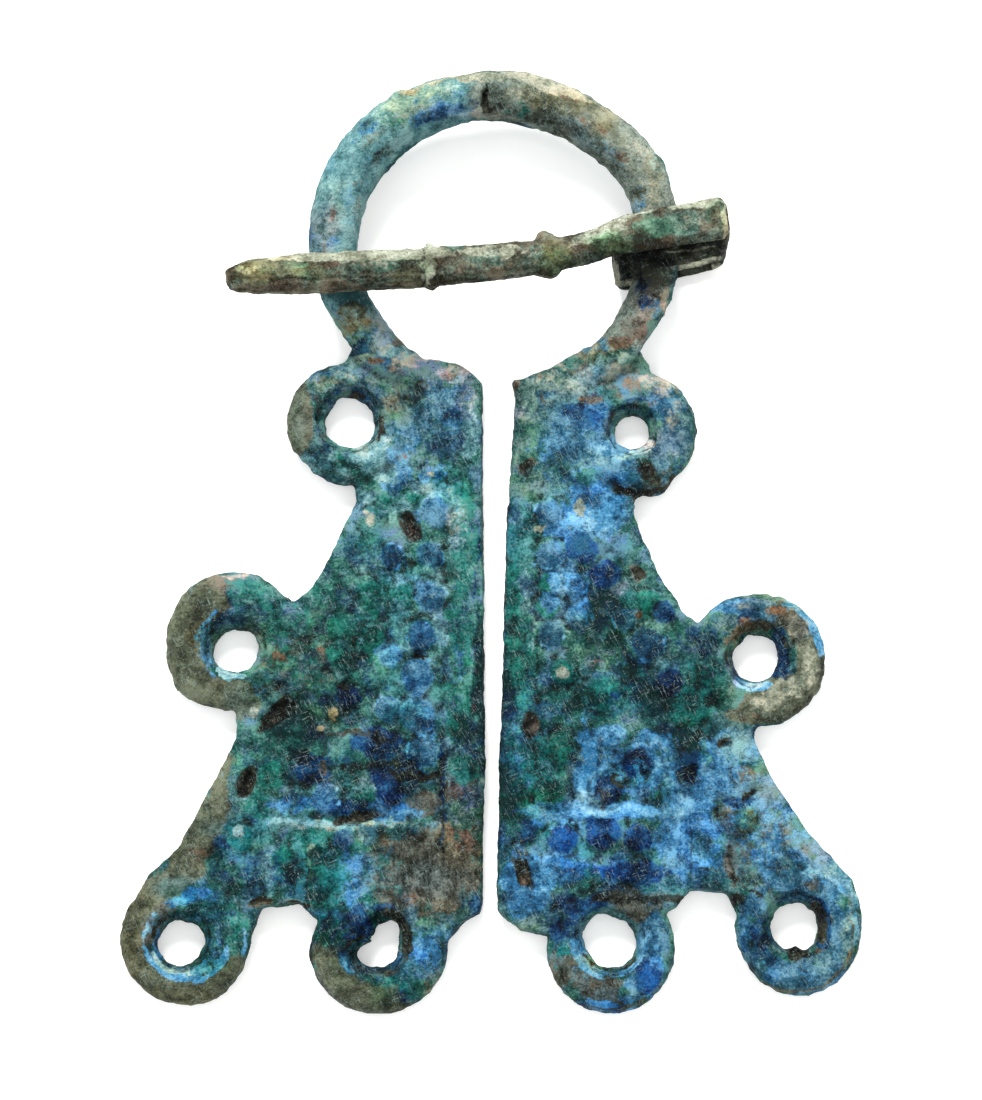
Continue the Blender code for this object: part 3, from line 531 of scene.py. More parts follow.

# Where the minerals are lighter and darker than elsewhere. Some darker patches are painted shadow: the
# pin's shadow on the hoop near (345, 295), the hoop in the head's shade near (655, 277), and the shaded top
# wall of L4's hole.
LIGHTER = each(Patch, (
    (610, 128, 20, 18), (350, 215, 8, 40), (520, 84, 32, 9, 0.5), (642, 188, 26, 28, 0.7),
    (395, 100, 42, 14, 0.4), (388, 332, 13, 28, 1.3, -45), (425, 365, 24, 12, 1.2), (365, 370, 13, 9),
    (310, 436, 20, 14, 0.5), (397, 418, 20, 10), (412, 462, 30, 11, 1.1), (370, 526, 30, 12, 0.9),
    (468, 520, 15, 22, 0.8), (440, 592, 30, 13, 0.7), (388, 668, 14, 26), (434, 696, 18, 13),
    (176, 622, 14, 40, 0.6), (206, 690, 30, 15, 0.7), (266, 590, 16, 8, 0.9), (325, 795, 16, 12, 0.7),
    (236, 812, 12, 10, 0.7), (395, 888, 34, 18, 0.5), (246, 930, 7, 20, 0.8), (152, 984, 20, 14, 0.5),
    (408, 820, 40, 12, 0.4), (411, 955, 10, 14, 0.7), (640, 372, 34, 20, 1.3), (620, 440, 9, 30, 1.2),
    (566, 363, 17, 9, 1.1), (680, 460, 20, 20, 0.5), (522, 490, 14, 24, 0.8), (560, 500, 20, 28, 0.5),
    (604, 546, 34, 14, 1.4), (638, 558, 18, 18, 0.8), (526, 566, 12, 14, 0.7), (575, 655, 18, 13, 0.5),
    (630, 794, 10, 20, 0.8), (575, 835, 9, 24), (760, 597, 32, 8, 0.9), (692, 620, 20, 13, 0.8),
    (736, 690, 12, 16, 0.6), (772, 702, 26, 10, 0.5), (716, 762, 16, 20, 0.8), (762, 790, 24, 26, 1.4),
    (805, 840, 32, 14, 1.2, -45), (685, 806, 14, 14, 1.2), (720, 852, 40, 18, 0.45),
    (650, 850, 14, 12, 0.6), (556, 945, 12, 20, 0.8), (668, 932, 11, 46, 0.9), (652, 890, 20, 9, 0.8),
    (800, 966, 20, 12, 0.5), (830, 900, 18, 8, 0.5), (648, 332, 8, 16, 1.4, 20), (560, 420, 50, 50, 0.36),
    (565, 93, 34, 8, 0.6, -20), (266, 696, 22, 12, 0.7), (190, 664, 22, 20, 0.4), (748, 748, 12, 12, 1.4),
    (560, 850, 30, 10, 0.8), (600, 914, 26, 6, 0.8), (596, 470, 26, 14, 0.7), (534, 612, 16, 10, 0.8),
    (645, 985, 20, 14, 0.6), (690, 626, 30, 12, 0.5), (366, 578, 12, 12, 0.6), (418, 612, 12, 8, 0.8),
    (326, 650, 14, 10, 0.5), (455, 580, 10, 40, 0.4), (345, 400, 50, 14, 0.3), (642, 340, 10, 14, 1.0, 20),
    (668, 396, 18, 12, 0.7), (575, 526, 18, 10, 0.8), (460, 384, 14, 12, 0.6), (430, 500, 16, 26, 0.5),
    (372, 540, 26, 12, 0.5), (290, 612, 10, 16, 0.6), (246, 708, 18, 20, 0.7), (428, 706, 22, 12, 0.7),
    (362, 738, 14, 12, 0.6), (455, 780, 14, 14, 0.9), (228, 772, 12, 16, 0.5), (280, 820, 26, 10, 0.5),
    (352, 828, 14, 14, 0.6), (170, 904, 14, 8, 0.9), (436, 886, 20, 12, 0.6), (625, 728, 18, 10, 0.6),
    (556, 832, 16, 26, 0.6), (624, 826, 14, 10, 0.8), (612, 868, 16, 14, 0.8), (664, 858, 16, 16, 0.6),
    (688, 892, 26, 8, 0.8), (770, 906, 20, 7, 0.9), (640, 934, 8, 24, 0.5), (532, 926, 18, 10, 0.8),
    (470, 620, 10, 60, 0.3), (640, 140, 10, 20, 0.5, 40), (330, 260, 24, 14, 0.5), (480, 430, 8, 60, 0.5),
    (462, 680, 12, 14, 0.6), (438, 745, 16, 12, 0.7), (520, 704, 20, 8, 0.6), (690, 820, 16, 24, 0.6),
    (720, 820, 40, 40, 0.3), (628, 776, 12, 14, 0.6), (590, 945, 8, 24, 0.7), (815, 690, 6, 30, 0.8, 30),
    (730, 655, 8, 14, 0.6), (250, 858, 12, 10, 0.6), (345, 450, 14, 12, 0.8), (222, 800, 12, 16, 0.4),
    (570, 595, 20, 10, 0.4), (426, 362, 20, 8, 2.0), (640, 364, 14, 12, 2.0), (366, 375, 16, 8, 0.9),
    (480, 590, 10, 30, 0.8), (428, 585, 22, 12, 0.8), (810, 852, 22, 14, 0.9, -40), (255, 655, 14, 20, 1.1),
    (232, 582, 30, 8, 0.8), (405, 140, 14, 8, 0.8, 40), (636, 145, 12, 20, 0.8, 40),
    (350, 318, 22, 10, 0.9), (770, 905, 18, 7, 1.2), (590, 925, 20, 6, 0.9), (360, 455, 8, 12, 0.9),
    (390, 450, 8, 10, 0.9), (335, 545, 16, 12, 0.8), (285, 825, 16, 10, 0.8), (365, 210, 6, 20, 0.7),
    (735, 770, 14, 12), (775, 820, 20, 14), (625, 780, 10, 10, 0.8), (385, 682, 12, 12, 0.9),
    (770, 680, 12, 14, 0.7),
))
DARKER = each(Patch, (
    (345, 470, 18, 10, 0.7), (405, 496, 18, 15, 0.6), (396, 562, 17, 15), (342, 612, 26, 30, 0.5),
    (366, 640, 15, 24, 0.6), (298, 722, 23, 24, 1.2), (402, 726, 28, 12, 0.6), (408, 772, 28, 15, 0.9),
    (466, 750, 18, 30), (300, 850, 20, 12, 0.6), (302, 878, 18, 19, 1.3), (192, 890, 16, 8, 0.8),
    (222, 888, 20, 10, 0.5), (211, 955, 16, 12, 1.2), (340, 940, 22, 30, 0.7), (370, 976, 30, 20, 0.9),
    (450, 892, 22, 24, 0.3), (612, 507, 34, 10, 0.7), (642, 490, 14, 8), (604, 608, 23, 20, 1.2),
    (556, 635, 20, 11, 0.5), (642, 684, 26, 24), (652, 646, 15, 20, 0.8), (720, 700, 12, 10, 0.8),
    (690, 668, 20, 12, 0.4), (590, 730, 23, 15, 0.7), (586, 766, 12, 12, 0.6), (675, 734, 17, 15, 1.4),
    (686, 760, 18, 26, 1.5), (666, 776, 14, 12), (511, 790, 12, 15, 1.3), (550, 790, 20, 14, 0.9),
    (520, 840, 20, 20, 0.5), (566, 870, 34, 8, 0.7), (640, 870, 13, 15, 0.4), (760, 956, 12, 24, 0.7),
    (566, 980, 14, 12, 0.4), (620, 1005, 26, 8, 0.4), (545, 118, 34, 9, 0.8, -12), (345, 298, 30, 8, 0.9),
    (300, 746, 20, 12, 0.9), (503, 720, 6, 80, 0.7), (666, 788, 12, 14, 0.9), (796, 858, 12, 14, 0.8),
    (640, 890, 18, 10, 0.8), (742, 832, 14, 12, 0.7), (592, 750, 16, 12, 0.6), (334, 692, 18, 16, 0.5),
    (455, 805, 30, 24, 0.36), (200, 905, 30, 16, 0.6), (130, 915, 14, 26, 0.5), (190, 968, 34, 10, 0.5),
    (250, 602, 16, 8, 0.7), (760, 775, 14, 8, 0.7), (560, 700, 40, 40, 0.3), (330, 850, 24, 10, 0.5),
    (360, 470, 10, 20, 0.5), (655, 945, 8, 12, 0.6), (655, 277, 24, 9, 1.5), (532, 391, 30, 8, 0.9),
    (590, 456, 16, 14), (582, 486, 16, 10, 0.6), (352, 492, 10, 20, 0.8), (465, 440, 10, 22, 0.6),
    (428, 560, 16, 8, 0.7), (350, 576, 10, 12, 0.6), (432, 600, 12, 12, 0.8), (398, 622, 30, 12, 0.5),
    (430, 641, 16, 8, 0.6), (320, 680, 34, 16, 0.5), (462, 710, 16, 10, 0.8), (350, 762, 16, 10, 0.7),
    (250, 840, 18, 10, 0.4), (250, 888, 18, 12, 0.7), (312, 890, 24, 10, 0.8), (216, 940, 8, 24, 0.6),
    (376, 856, 18, 10, 0.5), (440, 872, 20, 18, 0.5), (376, 922, 12, 12, 1.3), (432, 950, 14, 12, 0.5),
    (436, 912, 20, 8, 0.5), (509, 602, 9, 12), (508, 690, 9, 100, 0.4), (615, 634, 10, 20, 0.6),
    (668, 692, 30, 26, 0.4), (722, 672, 18, 14, 0.5), (612, 802, 14, 8, 0.7), (702, 840, 12, 16, 0.9),
    (590, 881, 20, 8, 0.6), (562, 912, 14, 6, 0.6), (800, 680, 10, 16, 0.6), (784, 986, 34, 10, 0.6),
    (590, 130, 20, 7, 0.6), (642, 182, 12, 20, 0.5), (510, 540, 10, 30, 0.4), (480, 660, 6, 80),
    (505, 790, 7, 40, 0.9), (550, 796, 26, 14, 0.9), (462, 372, 14, 8, 0.8), (410, 740, 40, 16, 0.4),
    (262, 816, 10, 10, 0.7), (450, 882, 14, 14, 0.9), (610, 900, 50, 8, 0.4), (600, 842, 18, 8, 0.6),
    (645, 250, 16, 20, 0.6), (340, 290, 22, 8, 0.8), (604, 362, 12, 10, 0.8), (590, 700, 40, 16, 0.4),
    (483, 745, 5, 30, 2.0), (506, 700, 8, 20, 1.6), (506, 792, 8, 30, 1.4), (353, 494, 10, 14, 1.5),
    (345, 291, 26, 7, 1.5), (296, 752, 18, 10, 1.1), (393, 772, 16, 10), (306, 888, 18, 12, 1.1),
    (654, 695, 26, 24, 0.9), (668, 733, 12, 14, 1.2), (665, 675, 12, 10, 0.9), (555, 790, 14, 14, 1.2),
    (188, 892, 12, 10), (216, 958, 10, 10, 1.1), (350, 975, 14, 16, 0.8), (380, 998, 20, 8, 0.8),
    (370, 640, 20, 20, 0.7), (340, 695, 16, 16, 0.8), (500, 95, 14, 12, 0.6), (435, 122, 24, 6, 0.7),
    (416, 785, 18, 12, 1.3), (325, 856, 20, 12, 1.1), (530, 830, 14, 12, 0.9), (570, 882, 24, 8, 0.9),
    (355, 655, 14, 12, 0.9), (648, 695, 20, 14, 1.3), (668, 800, 12, 12, 1.1), (665, 730, 12, 12, 1.6),
))

# Where a thin stain turns the minerals bluer or browner
BLUER = each(Patch, (
    (238, 829, 36, 13, 0.9), (310, 872, 52, 24, 0.8), (180, 886, 22, 12, 0.9), (398, 802, 22, 8, 0.8),
    (450, 490, 14, 20, 0.8), (366, 540, 30, 16, 0.5), (400, 580, 26, 15, 0.6), (396, 684, 24, 12, 0.6),
    (424, 640, 26, 20, 0.36), (520, 530, 16, 40, 0.6), (586, 586, 16, 22, 0.7), (614, 546, 20, 13, 0.7),
    (515, 746, 14, 46, 0.9), (576, 846, 24, 30), (614, 874, 20, 20, 1.1), (656, 892, 24, 15, 0.9),
    (714, 846, 36, 34, 0.7), (628, 783, 12, 24, 0.9), (600, 482, 32, 11, 0.7), (406, 980, 20, 20, 0.7),
    (656, 976, 14, 20, 0.9), (616, 1003, 24, 8, 0.7), (350, 700, 8, 20, 0.5), (540, 830, 30, 10, 0.8),
    (345, 770, 12, 24, 0.5), (420, 880, 30, 16, 0.4), (750, 950, 10, 24, 0.6), (240, 700, 16, 20, 0.4),
    (410, 86, 22, 7, 0.9), (560, 500, 16, 12, 0.5), (412, 960, 18, 12, 0.8), (526, 746, 20, 40, 0.6),
    (622, 822, 18, 10, 0.7), (504, 846, 8, 20, 0.7), (600, 400, 10, 30, 0.6), (570, 694, 60, 26, 0.4),
    (660, 690, 50, 30, 0.36), (300, 810, 50, 14, 0.5), (190, 918, 50, 8, 0.5), (588, 138, 34, 8, 0.4, -36),
    (325, 180, 12, 30, 0.3), (430, 690, 20, 20, 0.4), (370, 880, 30, 12, 0.4), (575, 980, 14, 16, 0.5),
    (700, 740, 24, 24, 0.4), (690, 880, 40, 12, 0.4), (232, 842, 16, 20, 0.7), (205, 900, 26, 14, 0.6),
    (335, 908, 16, 12, 0.8), (534, 770, 20, 20, 0.7), (545, 848, 12, 14, 0.7), (570, 530, 20, 30, 0.5),
    (430, 720, 16, 14, 0.6), (395, 600, 20, 24, 0.5), (650, 856, 14, 12, 0.7), (305, 850, 30, 20, 0.4),
    (560, 954, 10, 14, 0.7), (606, 996, 18, 12, 0.8), (770, 975, 10, 10, 0.5), (300, 425, 8, 30, 0.3),
    (330, 914, 16, 9, 1.1), (396, 803, 14, 8, 1.1), (608, 884, 14, 8, 1.2), (235, 848, 14, 10, 0.9),
    (500, 845, 8, 16),
))
WARMER = each(Patch, (
    (412, 104, 38, 15, 0.9, 22), (328, 212, 15, 36, 0.5), (562, 104, 32, 12, 0.3), (364, 340, 22, 22),
    (402, 404, 28, 20, 0.9), (345, 386, 42, 11, 0.5), (452, 396, 30, 14, 0.4), (545, 392, 36, 20, 0.8),
    (602, 352, 26, 13, 0.8), (642, 345, 14, 20, 0.5), (206, 636, 15, 18, 0.9), (262, 655, 24, 24, 0.5),
    (326, 712, 16, 20, 0.9), (371, 836, 16, 12), (456, 832, 20, 34, 0.8), (702, 632, 26, 24, 0.4),
    (746, 640, 18, 24, 0.8), (782, 602, 36, 15, 0.8), (552, 632, 20, 12, 0.5), (646, 504, 18, 15, 0.9),
    (738, 744, 16, 15, 0.8), (842, 866, 20, 14, 0.8), (853, 936, 10, 50, 0.9), (780, 988, 40, 10, 0.5),
    (132, 930, 16, 60, 0.35), (180, 1000, 50, 10, 0.35), (430, 920, 30, 14, 0.5), (702, 848, 12, 12),
    (744, 824, 12, 16, 1.0, -30), (664, 790, 8, 20, 0.8), (480, 800, 9, 40, 0.9), (770, 770, 24, 8, 0.7),
    (584, 544, 12, 12, 0.9), (660, 450, 20, 30, 0.5), (520, 440, 16, 60, 0.4), (270, 870, 18, 14, 0.7),
    (284, 904, 26, 6, 0.8), (430, 990, 20, 10, 0.8, -30), (640, 1000, 18, 8, 0.7), (455, 910, 26, 12, 0.6),
    (190, 965, 30, 8, 0.7), (800, 870, 24, 10, 0.5), (756, 640, 36, 16, 0.5), (620, 625, 60, 12, 0.5),
    (345, 540, 10, 16, 0.5), (650, 300, 16, 30, 0.4), (256, 636, 14, 16, 0.9), (322, 628, 12, 24, 0.6),
    (292, 680, 26, 16, 0.6), (484, 830, 7, 70, 0.9), (600, 655, 26, 14, 0.8), (730, 630, 22, 14, 0.7),
    (724, 690, 12, 16, 0.6), (450, 670, 20, 14, 0.5), (534, 416, 16, 20, 0.7), (535, 485, 14, 12, 0.7),
    (590, 462, 26, 12, 0.6), (686, 440, 12, 24, 0.7), (592, 962, 20, 12, 0.9), (530, 926, 20, 8, 0.8),
    (565, 985, 10, 16, 0.6), (748, 972, 12, 20, 0.8), (770, 790, 22, 10, 0.6), (824, 960, 14, 20, 0.5),
    (820, 850, 20, 12, 0.5), (430, 420, 14, 30, 0.5), (604, 120, 20, 12, 0.5, 40), (655, 180, 8, 30, 0.4),
    (482, 830, 9, 70), (324, 716, 16, 14), (368, 834, 16, 10, 1.1), (756, 968, 12, 14, 0.9),
    (640, 500, 16, 12, 0.9), (202, 634, 14, 16),
))

# Where it turns them greener or greyer
GREENER = each(Patch, (
    (300, 862, 20, 20), (390, 762, 24, 12, 0.9), (406, 714, 22, 14, 0.8), (690, 733, 12, 12, 1.1),
    (628, 774, 20, 12, 0.8), (330, 918, 20, 14, 0.8), (186, 896, 16, 12, 0.7), (212, 962, 14, 12, 0.8),
    (640, 680, 24, 12, 0.7), (566, 705, 18, 20, 0.6), (600, 614, 16, 14, 0.7), (246, 766, 10, 12, 0.7),
    (365, 548, 26, 12, 0.6), (528, 806, 12, 12, 0.8), (744, 818, 12, 14, 0.8), (455, 480, 16, 26, 0.6),
    (395, 605, 24, 20, 0.4), (260, 690, 20, 16, 0.5), (315, 765, 20, 10, 0.5), (660, 606, 10, 8, 0.7),
    (385, 990, 14, 14, 0.6), (470, 670, 12, 14, 0.5), (380, 660, 18, 20, 0.36), (345, 950, 16, 30, 0.3),
    (395, 755, 22, 14, 0.6), (628, 870, 14, 12, 0.7), (398, 625, 16, 20, 0.6), (545, 800, 14, 14, 0.6),
    (620, 620, 24, 16, 0.4), (250, 875, 14, 14, 0.5), (415, 560, 20, 16, 0.4), (690, 734, 14, 12, 1.3),
    (330, 930, 18, 14, 0.9), (304, 868, 20, 18, 1.1), (640, 680, 22, 12, 0.9), (578, 702, 18, 14, 0.7),
))
GREYER = each(Patch, (
    (514, 420, 12, 40), (560, 380, 56, 18, 0.3), (468, 392, 14, 26, 0.8), (384, 380, 20, 12, 0.6),
    (380, 330, 14, 20, 0.6), (612, 548, 16, 12, 1.2), (626, 592, 12, 12, 0.9), (722, 676, 14, 14, 1.1),
    (690, 655, 14, 16, 0.7), (640, 715, 30, 12, 0.6), (508, 535, 10, 30, 0.8), (470, 560, 12, 60, 0.5),
    (505, 600, 10, 20, 0.6), (324, 228, 18, 26, 0.7), (236, 584, 24, 10, 0.7), (290, 605, 16, 18, 0.6),
    (465, 830, 16, 20, 0.8), (760, 596, 20, 8, 0.6), (440, 114, 40, 8, 0.4), (336, 736, 12, 14, 0.6),
    (650, 320, 20, 40, 0.36), (660, 445, 24, 14, 0.5), (330, 420, 26, 30, 0.3), (500, 655, 10, 40, 0.4),
    (780, 790, 20, 24, 0.4), (325, 785, 12, 10, 0.5), (518, 490, 12, 10, 0.7), (428, 374, 20, 14, 0.9),
    (650, 380, 14, 22, 0.3), (640, 412, 12, 16, 0.5), (462, 560, 14, 40, 0.5), (462, 636, 12, 16, 0.6),
    (462, 778, 18, 20, 0.8), (400, 536, 16, 12, 0.7), (282, 600, 30, 14, 0.5), (424, 458, 12, 12, 0.6),
    (600, 862, 14, 8, 0.6), (664, 884, 14, 8, 0.7), (346, 846, 14, 10, 0.7), (370, 780, 14, 8, 0.6),
    (628, 556, 14, 10, 0.6), (716, 700, 30, 12, 0.3), (466, 800, 12, 34, 0.9), (622, 592, 12, 10),
    (690, 658, 14, 16, 0.8), (820, 852, 18, 12, 0.5),
))

# Dirt in the hollows
DIRT = each(Patch, (
    (409, 526, 8, 17, 1.0, 18), (277, 714, 7, 26, 1.0, -48), (290, 706, 14, 8, 0.7),
    (247, 783, 8, 16, 1.0, -25), (355, 819, 22, 5, 0.95), (347, 684, 8, 5, 0.9), (420, 656, 10, 3, 0.95),
    (352, 735, 30, 5, 0.6), (375, 765, 40, 8, 0.55), (418, 775, 26, 6, 0.7), (300, 655, 26, 16, 0.35),
    (270, 690, 24, 8, 0.55), (262, 902, 14, 4, 0.9), (300, 903, 14, 3, 0.8), (533, 724, 9, 12, 0.95),
    (524, 872, 8, 18, 0.9, 20), (600, 795, 10, 14, 0.5), (618, 782, 10, 8, 0.7), (655, 900, 40, 5, 0.85),
    (610, 903, 26, 5, 0.6), (636, 574, 9, 8, 0.9), (527, 466, 9, 8, 0.7), (648, 474, 14, 9, 0.7),
    (727, 743, 8, 4, 0.8, 20), (747, 794, 9, 4, 0.8, 30), (729, 862, 4, 22, 0.9), (736, 900, 8, 8, 0.7),
    (485, 98, 5, 14), (492, 106, 12, 8, 0.5), (417, 394, 18, 6, 0.42, 40), (797, 951, 9, 5),
    (590, 962, 3, 3, 0.9), (560, 130, 24, 6, 0.5, -20), (385, 150, 20, 8, 0.5, 40),
    (638, 338, 20, 6, 0.4, 30), (650, 290, 14, 6, 0.6), (720, 812, 6, 12, 0.5), (395, 740, 30, 5, 0.55),
    (340, 770, 26, 6, 0.5), (640, 668, 30, 5, 0.4, 35), (700, 730, 20, 5, 0.5, -35), (475, 850, 5, 40, 0.5),
    (440, 850, 2.5, 40, 0.6), (210, 850, 8, 20, 0.4, -20), (305, 640, 14, 8, 0.5), (797, 955, 10, 7),
    (792, 948, 5, 3, 0.9), (803, 972, 2, 12, 0.6, 25), (352, 946, 14, 3, 0.9, 30),
    (655, 489, 30, 5, 0.8, 24), (756, 895, 12, 3, 0.7, -25), (700, 868, 24, 2, 0.6), (640, 492, 6, 3, 0.7),
))

# The pin's patina, as the camera sees it, with painted light in it: a painted highlight along the pin's
# upper edge and painted shade along its lower edge and in the head's recess
# The long bands along the upper edge are partly a painted highlight
PIN_PALE = each(Patch, (
    (345, 253, 96, 7, 1.9), (246, 270, 16, 4, 0.5), (690, 203, 42, 5, 0.62, 4), (640, 213, 30, 4, 0.5, 18),
    (726, 228, 5, 24, 0.5), (430, 264, 7, 26, 0.7), (490, 252, 50, 6, 0.6), (600, 236, 40, 7, 0.5, 14),
    (680, 268, 42, 4, 0.75, 10), (716, 266, 4, 9, 0.7), (615, 271, 4, 12, 0.75), (370, 262, 30, 8, 0.5),
    (690, 222, 26, 6, 0.4), (400, 250, 60, 5, 0.7), (600, 226, 40, 4, 0.55, 14), (725, 225, 3, 26, 0.6),
))
PIN_TEAL = each(Patch, (
    (295, 264, 16, 4, 0.8), (372, 265, 30, 7, 0.62), (668, 225, 34, 11, 0.75, 8), (680, 228, 18, 7),
    (640, 232, 16, 10, 0.5), (457, 247, 8, 5, 0.8), (490, 258, 26, 10, 0.5), (530, 250, 20, 9, 0.45),
    (702, 253, 16, 4, 0.8), (345, 280, 40, 4, 0.36),
))
# Partly painted shade: the long thin bands along the pin's lower edge and the patches in the head's recess
PIN_DARK = each(Patch, (
    (320, 279, 80, 3, 0.75), (706, 268, 16, 6, 0.8), (628, 272, 9, 14, 0.9), (650, 268, 16, 8, 0.8),
    (440, 280, 60, 5, 0.62), (460, 272, 40, 10, 0.42), (560, 258, 40, 10, 0.4), (713, 218, 6, 12, 0.5),
    (630, 214, 26, 2, 0.95, 16), (640, 262, 22, 12, 0.5), (585, 252, 40, 6, 0.5, 12),
    (432, 258, 3, 14, 0.8), (240, 291, 14, 3, 0.7), (530, 276, 60, 4, 0.5, 6), (400, 286, 60, 3, 0.6),
    (262, 280, 34, 9, 0.45), (380, 270, 40, 6, 0.45), (232, 283, 6, 12, 0.5),
))
PIN_RUST = each(Patch, (
    (327, 264, 16, 5, 0.7), (408, 252, 14, 5, 0.75), (580, 247, 14, 5, 0.75), (556, 262, 14, 9, 0.42),
    (500, 272, 30, 5, 0.36), (275, 284, 20, 4, 0.5), (600, 250, 16, 5, 0.5, 14), (655, 240, 20, 4, 0.5),
))

# Painted highlights along the lit edges of the head's inner lap
PIN_RIM_HIGHLIGHT = each(Patch, (
    (628, 282, 18, 3.5, 1.3, 6), (655, 274, 36, 3, 1.4, 14), (700, 263, 22, 3, 1.1, 14), (615, 272, 4, 12),
    (716, 267, 4, 10, 0.9), (690, 250, 34, 2, 0.5, 8),
))

# Where the pin is lighter, darker, browner and greener than elsewhere; the strongest darker patches at the
# head are painted shade in its recess
PIN_LIGHTER = each(Patch, (
    (272, 273, 40, 13, 0.7), (545, 240, 20, 8, 1.2), (640, 216, 30, 8, 0.5), (712, 216, 15, 14, 0.5),
    (705, 263, 16, 7, 0.5), (622, 228, 26, 10, 0.8, 14), (700, 271, 22, 8, 1.2), (612, 274, 8, 14, 0.6),
    (560, 248, 20, 8, 0.5), (320, 282, 60, 8, 0.4), (690, 262, 20, 5, 0.6), (500, 272, 40, 5, 0.4),
))
PIN_DARKER = each(Patch, (
    (382, 265, 20, 8, 0.5), (430, 268, 16, 10, 0.5), (512, 262, 16, 8, 0.6), (640, 264, 30, 14),
    (662, 278, 16, 9, 0.9), (692, 240, 24, 7, 0.4), (236, 268, 12, 8, 0.7), (292, 284, 12, 6, 0.7),
    (592, 244, 10, 5, 0.5), (648, 252, 16, 18, 1.4), (655, 275, 16, 10, 1.3),
))
PIN_WARMER = each(Patch, (
    (270, 268, 40, 10, 0.7), (556, 252, 14, 10, 0.6), (728, 232, 6, 26, 0.5),
))
PIN_GREENER = each(Patch, (
    (556, 262, 20, 14), (612, 246, 24, 12), (312, 272, 20, 10, 0.6), (255, 276, 24, 8, 0.4),
    (410, 268, 20, 10, 0.5), (240, 262, 14, 10, 0.5), (655, 228, 24, 12, 0.5), (715, 215, 12, 14, 0.4),
))

# The pin's collars, knobs, seams and pits
PIN_LUMPS = each(Lump, (
    (430, 265, 6, 30, 0.09), (424, 265, 2.5, 30, -0.1), (446, 262, 10, 24, 0.05), (545, 236, 9, 7, 0.18),
    (552, 272, 8, 7, 0.2), (630, 214, 26, 2, -0.12, 16), (713, 222, 5, 15, -0.06),
    (668, 226, 34, 8, -0.05, 8), (320, 279, 90, 2.5, -0.07), (628, 283, 16, 2.5, 0.08, 8),
    (660, 275, 26, 2.5, 0.08, 16), (700, 263, 22, 2.5, 0.08, 14), (650, 263, 24, 6, -0.15, 10),
    (250, 262, 22, 6, 0.04), (480, 270, 26, 6, 0.05),
))


def smooth(value, start, end):
    """An even rise from 0 at start to 1 at end, for arrays."""
    share = np.clip((value - start) / (end - start), 0.0, 1.0)
    return share * share * (3 - 2 * share)


def fading(value, start, end):
    """1 up to start, falling evenly to 0 at end."""
    return 1 - smooth(value, start, end)


def noise(points, size, seed):
    """Smooth noise from -1 to 1 over points in millimetres, with bumps of about a size."""
    lattice = np.random.default_rng(seed).uniform(-1, 1, (LATTICE, LATTICE, LATTICE))
    scaled = points / size
    cell = np.floor(scaled).astype(int)
    part = scaled - cell
    part = part * part * (3 - 2 * part)
    total = np.zeros(len(points))
    for corner in itertools.product((0, 1), repeat=3):
        weight = np.prod(np.where(corner, part, 1 - part), axis=1)
        index = (cell + corner) % LATTICE
        total += weight * lattice[index[:, 0], index[:, 1], index[:, 2]]
    return total


def rough(points, size, seed, octaves=3, fade=0.55):
    """Several layers of noise, each half the size of the last."""
    total = np.zeros(len(points))
    for i in range(octaves):
        total += fade**i * noise(points, size / 2**i, seed + i)
    return total


def relief(points, layers):
    """Layers of roughness added up, each (height, size, seed) and, where they aren't three, its octaves."""
    return sum(height * rough(points, size, *rest) for height, size, *rest in layers)


def wander(points, size, seed):
    """How the marks' edges wander, to the right and downwards."""
    return np.column_stack((rough(points, size, seed), rough(points, size, seed + 10)))


def seen_at(points):
    """Where the camera sees points: an array of (x, y) in pixels."""
    away = points - EYE
    depth = away @ FORWARD
    reach = CAMERA_DISTANCE / PIXEL
    across = PICTURE[0] / 2 + away[:, 0] / depth * reach
    down = PICTURE[1] / 2 - (away @ UPWARD) / depth * reach
    return np.column_stack((across, down))


def facing(normals, start, end):
    """1 where the surface faces the camera, 0 where it faces away."""
    return smooth(normals @ -FORWARD, start, end)


def away_from(places, mark):
    """How far places lie from the middle of a mark's turned ellipse, as a share of its half-axes."""
    angle = math.radians(mark.turn)
    offset = places - (mark.x, mark.y)
    along = offset[:, 0] * math.cos(angle) - offset[:, 1] * math.sin(angle)
    aside = offset[:, 0] * math.sin(angle) + offset[:, 1] * math.cos(angle)
    return np.hypot(along / mark.wide, aside / mark.high)


def turn_from(offset, angle):
    """Degrees between offsets and an angle, which is counted from the right."""
    turn = np.degrees(np.arctan2(-offset[:, 1], offset[:, 0])) - angle
    return np.abs((turn + 180) % 360 - 180)


def most(*covers):
    """The strongest of several covers at each place."""
    return np.maximum.reduce(covers)


def spread(places, patches):
    """How strongly patches cover places: the strength of the strongest one there."""
    cover = np.zeros(len(places))
    for patch in patches:
        cover = np.maximum(cover, patch.strength * fading(away_from(places, patch), *PATCH_FADE))
    return cover


def along_arcs(places, arcs, worn=1.0):
    """How strongly arcs cover places. The small ones follow the hole, the others the rim."""
    cover = np.zeros(len(places))
    for arc in arcs:
        eyelet = EYELETS[arc.eyelet]
        small = arc.radius < eyelet.hole + HOLE_REACH
        offset = places - ((eyelet.hole_x, eyelet.hole_y) if small else (eyelet.x, eyelet.y))
        past = turn_from(offset, (arc.start + arc.end) / 2) - (arc.end - arc.start) / 2
        aside = np.abs(np.hypot(offset[:, 0], offset[:, 1]) - arc.radius) / arc.half
        cover = np.maximum(cover, arc.strength * fading(past, *ARC_END_FADE) * fading(aside, *ARC_FADE))
    return cover * worn


def along_hoop(start, end, strength):
    """Patches along the hoop's wire, with angles counted from the right."""
    middle_x, middle_y, half_width, half_height = HOOP
    patches = []
    for degrees in range(start, end + 1, HOOP_STEP):
        turn = math.radians(degrees)
        x = middle_x + half_width * math.cos(turn)
        y = middle_y - half_height * math.sin(turn)
        patches.append(Patch(x, y, HOOP_REACH, HOOP_REACH, strength))
    return patches


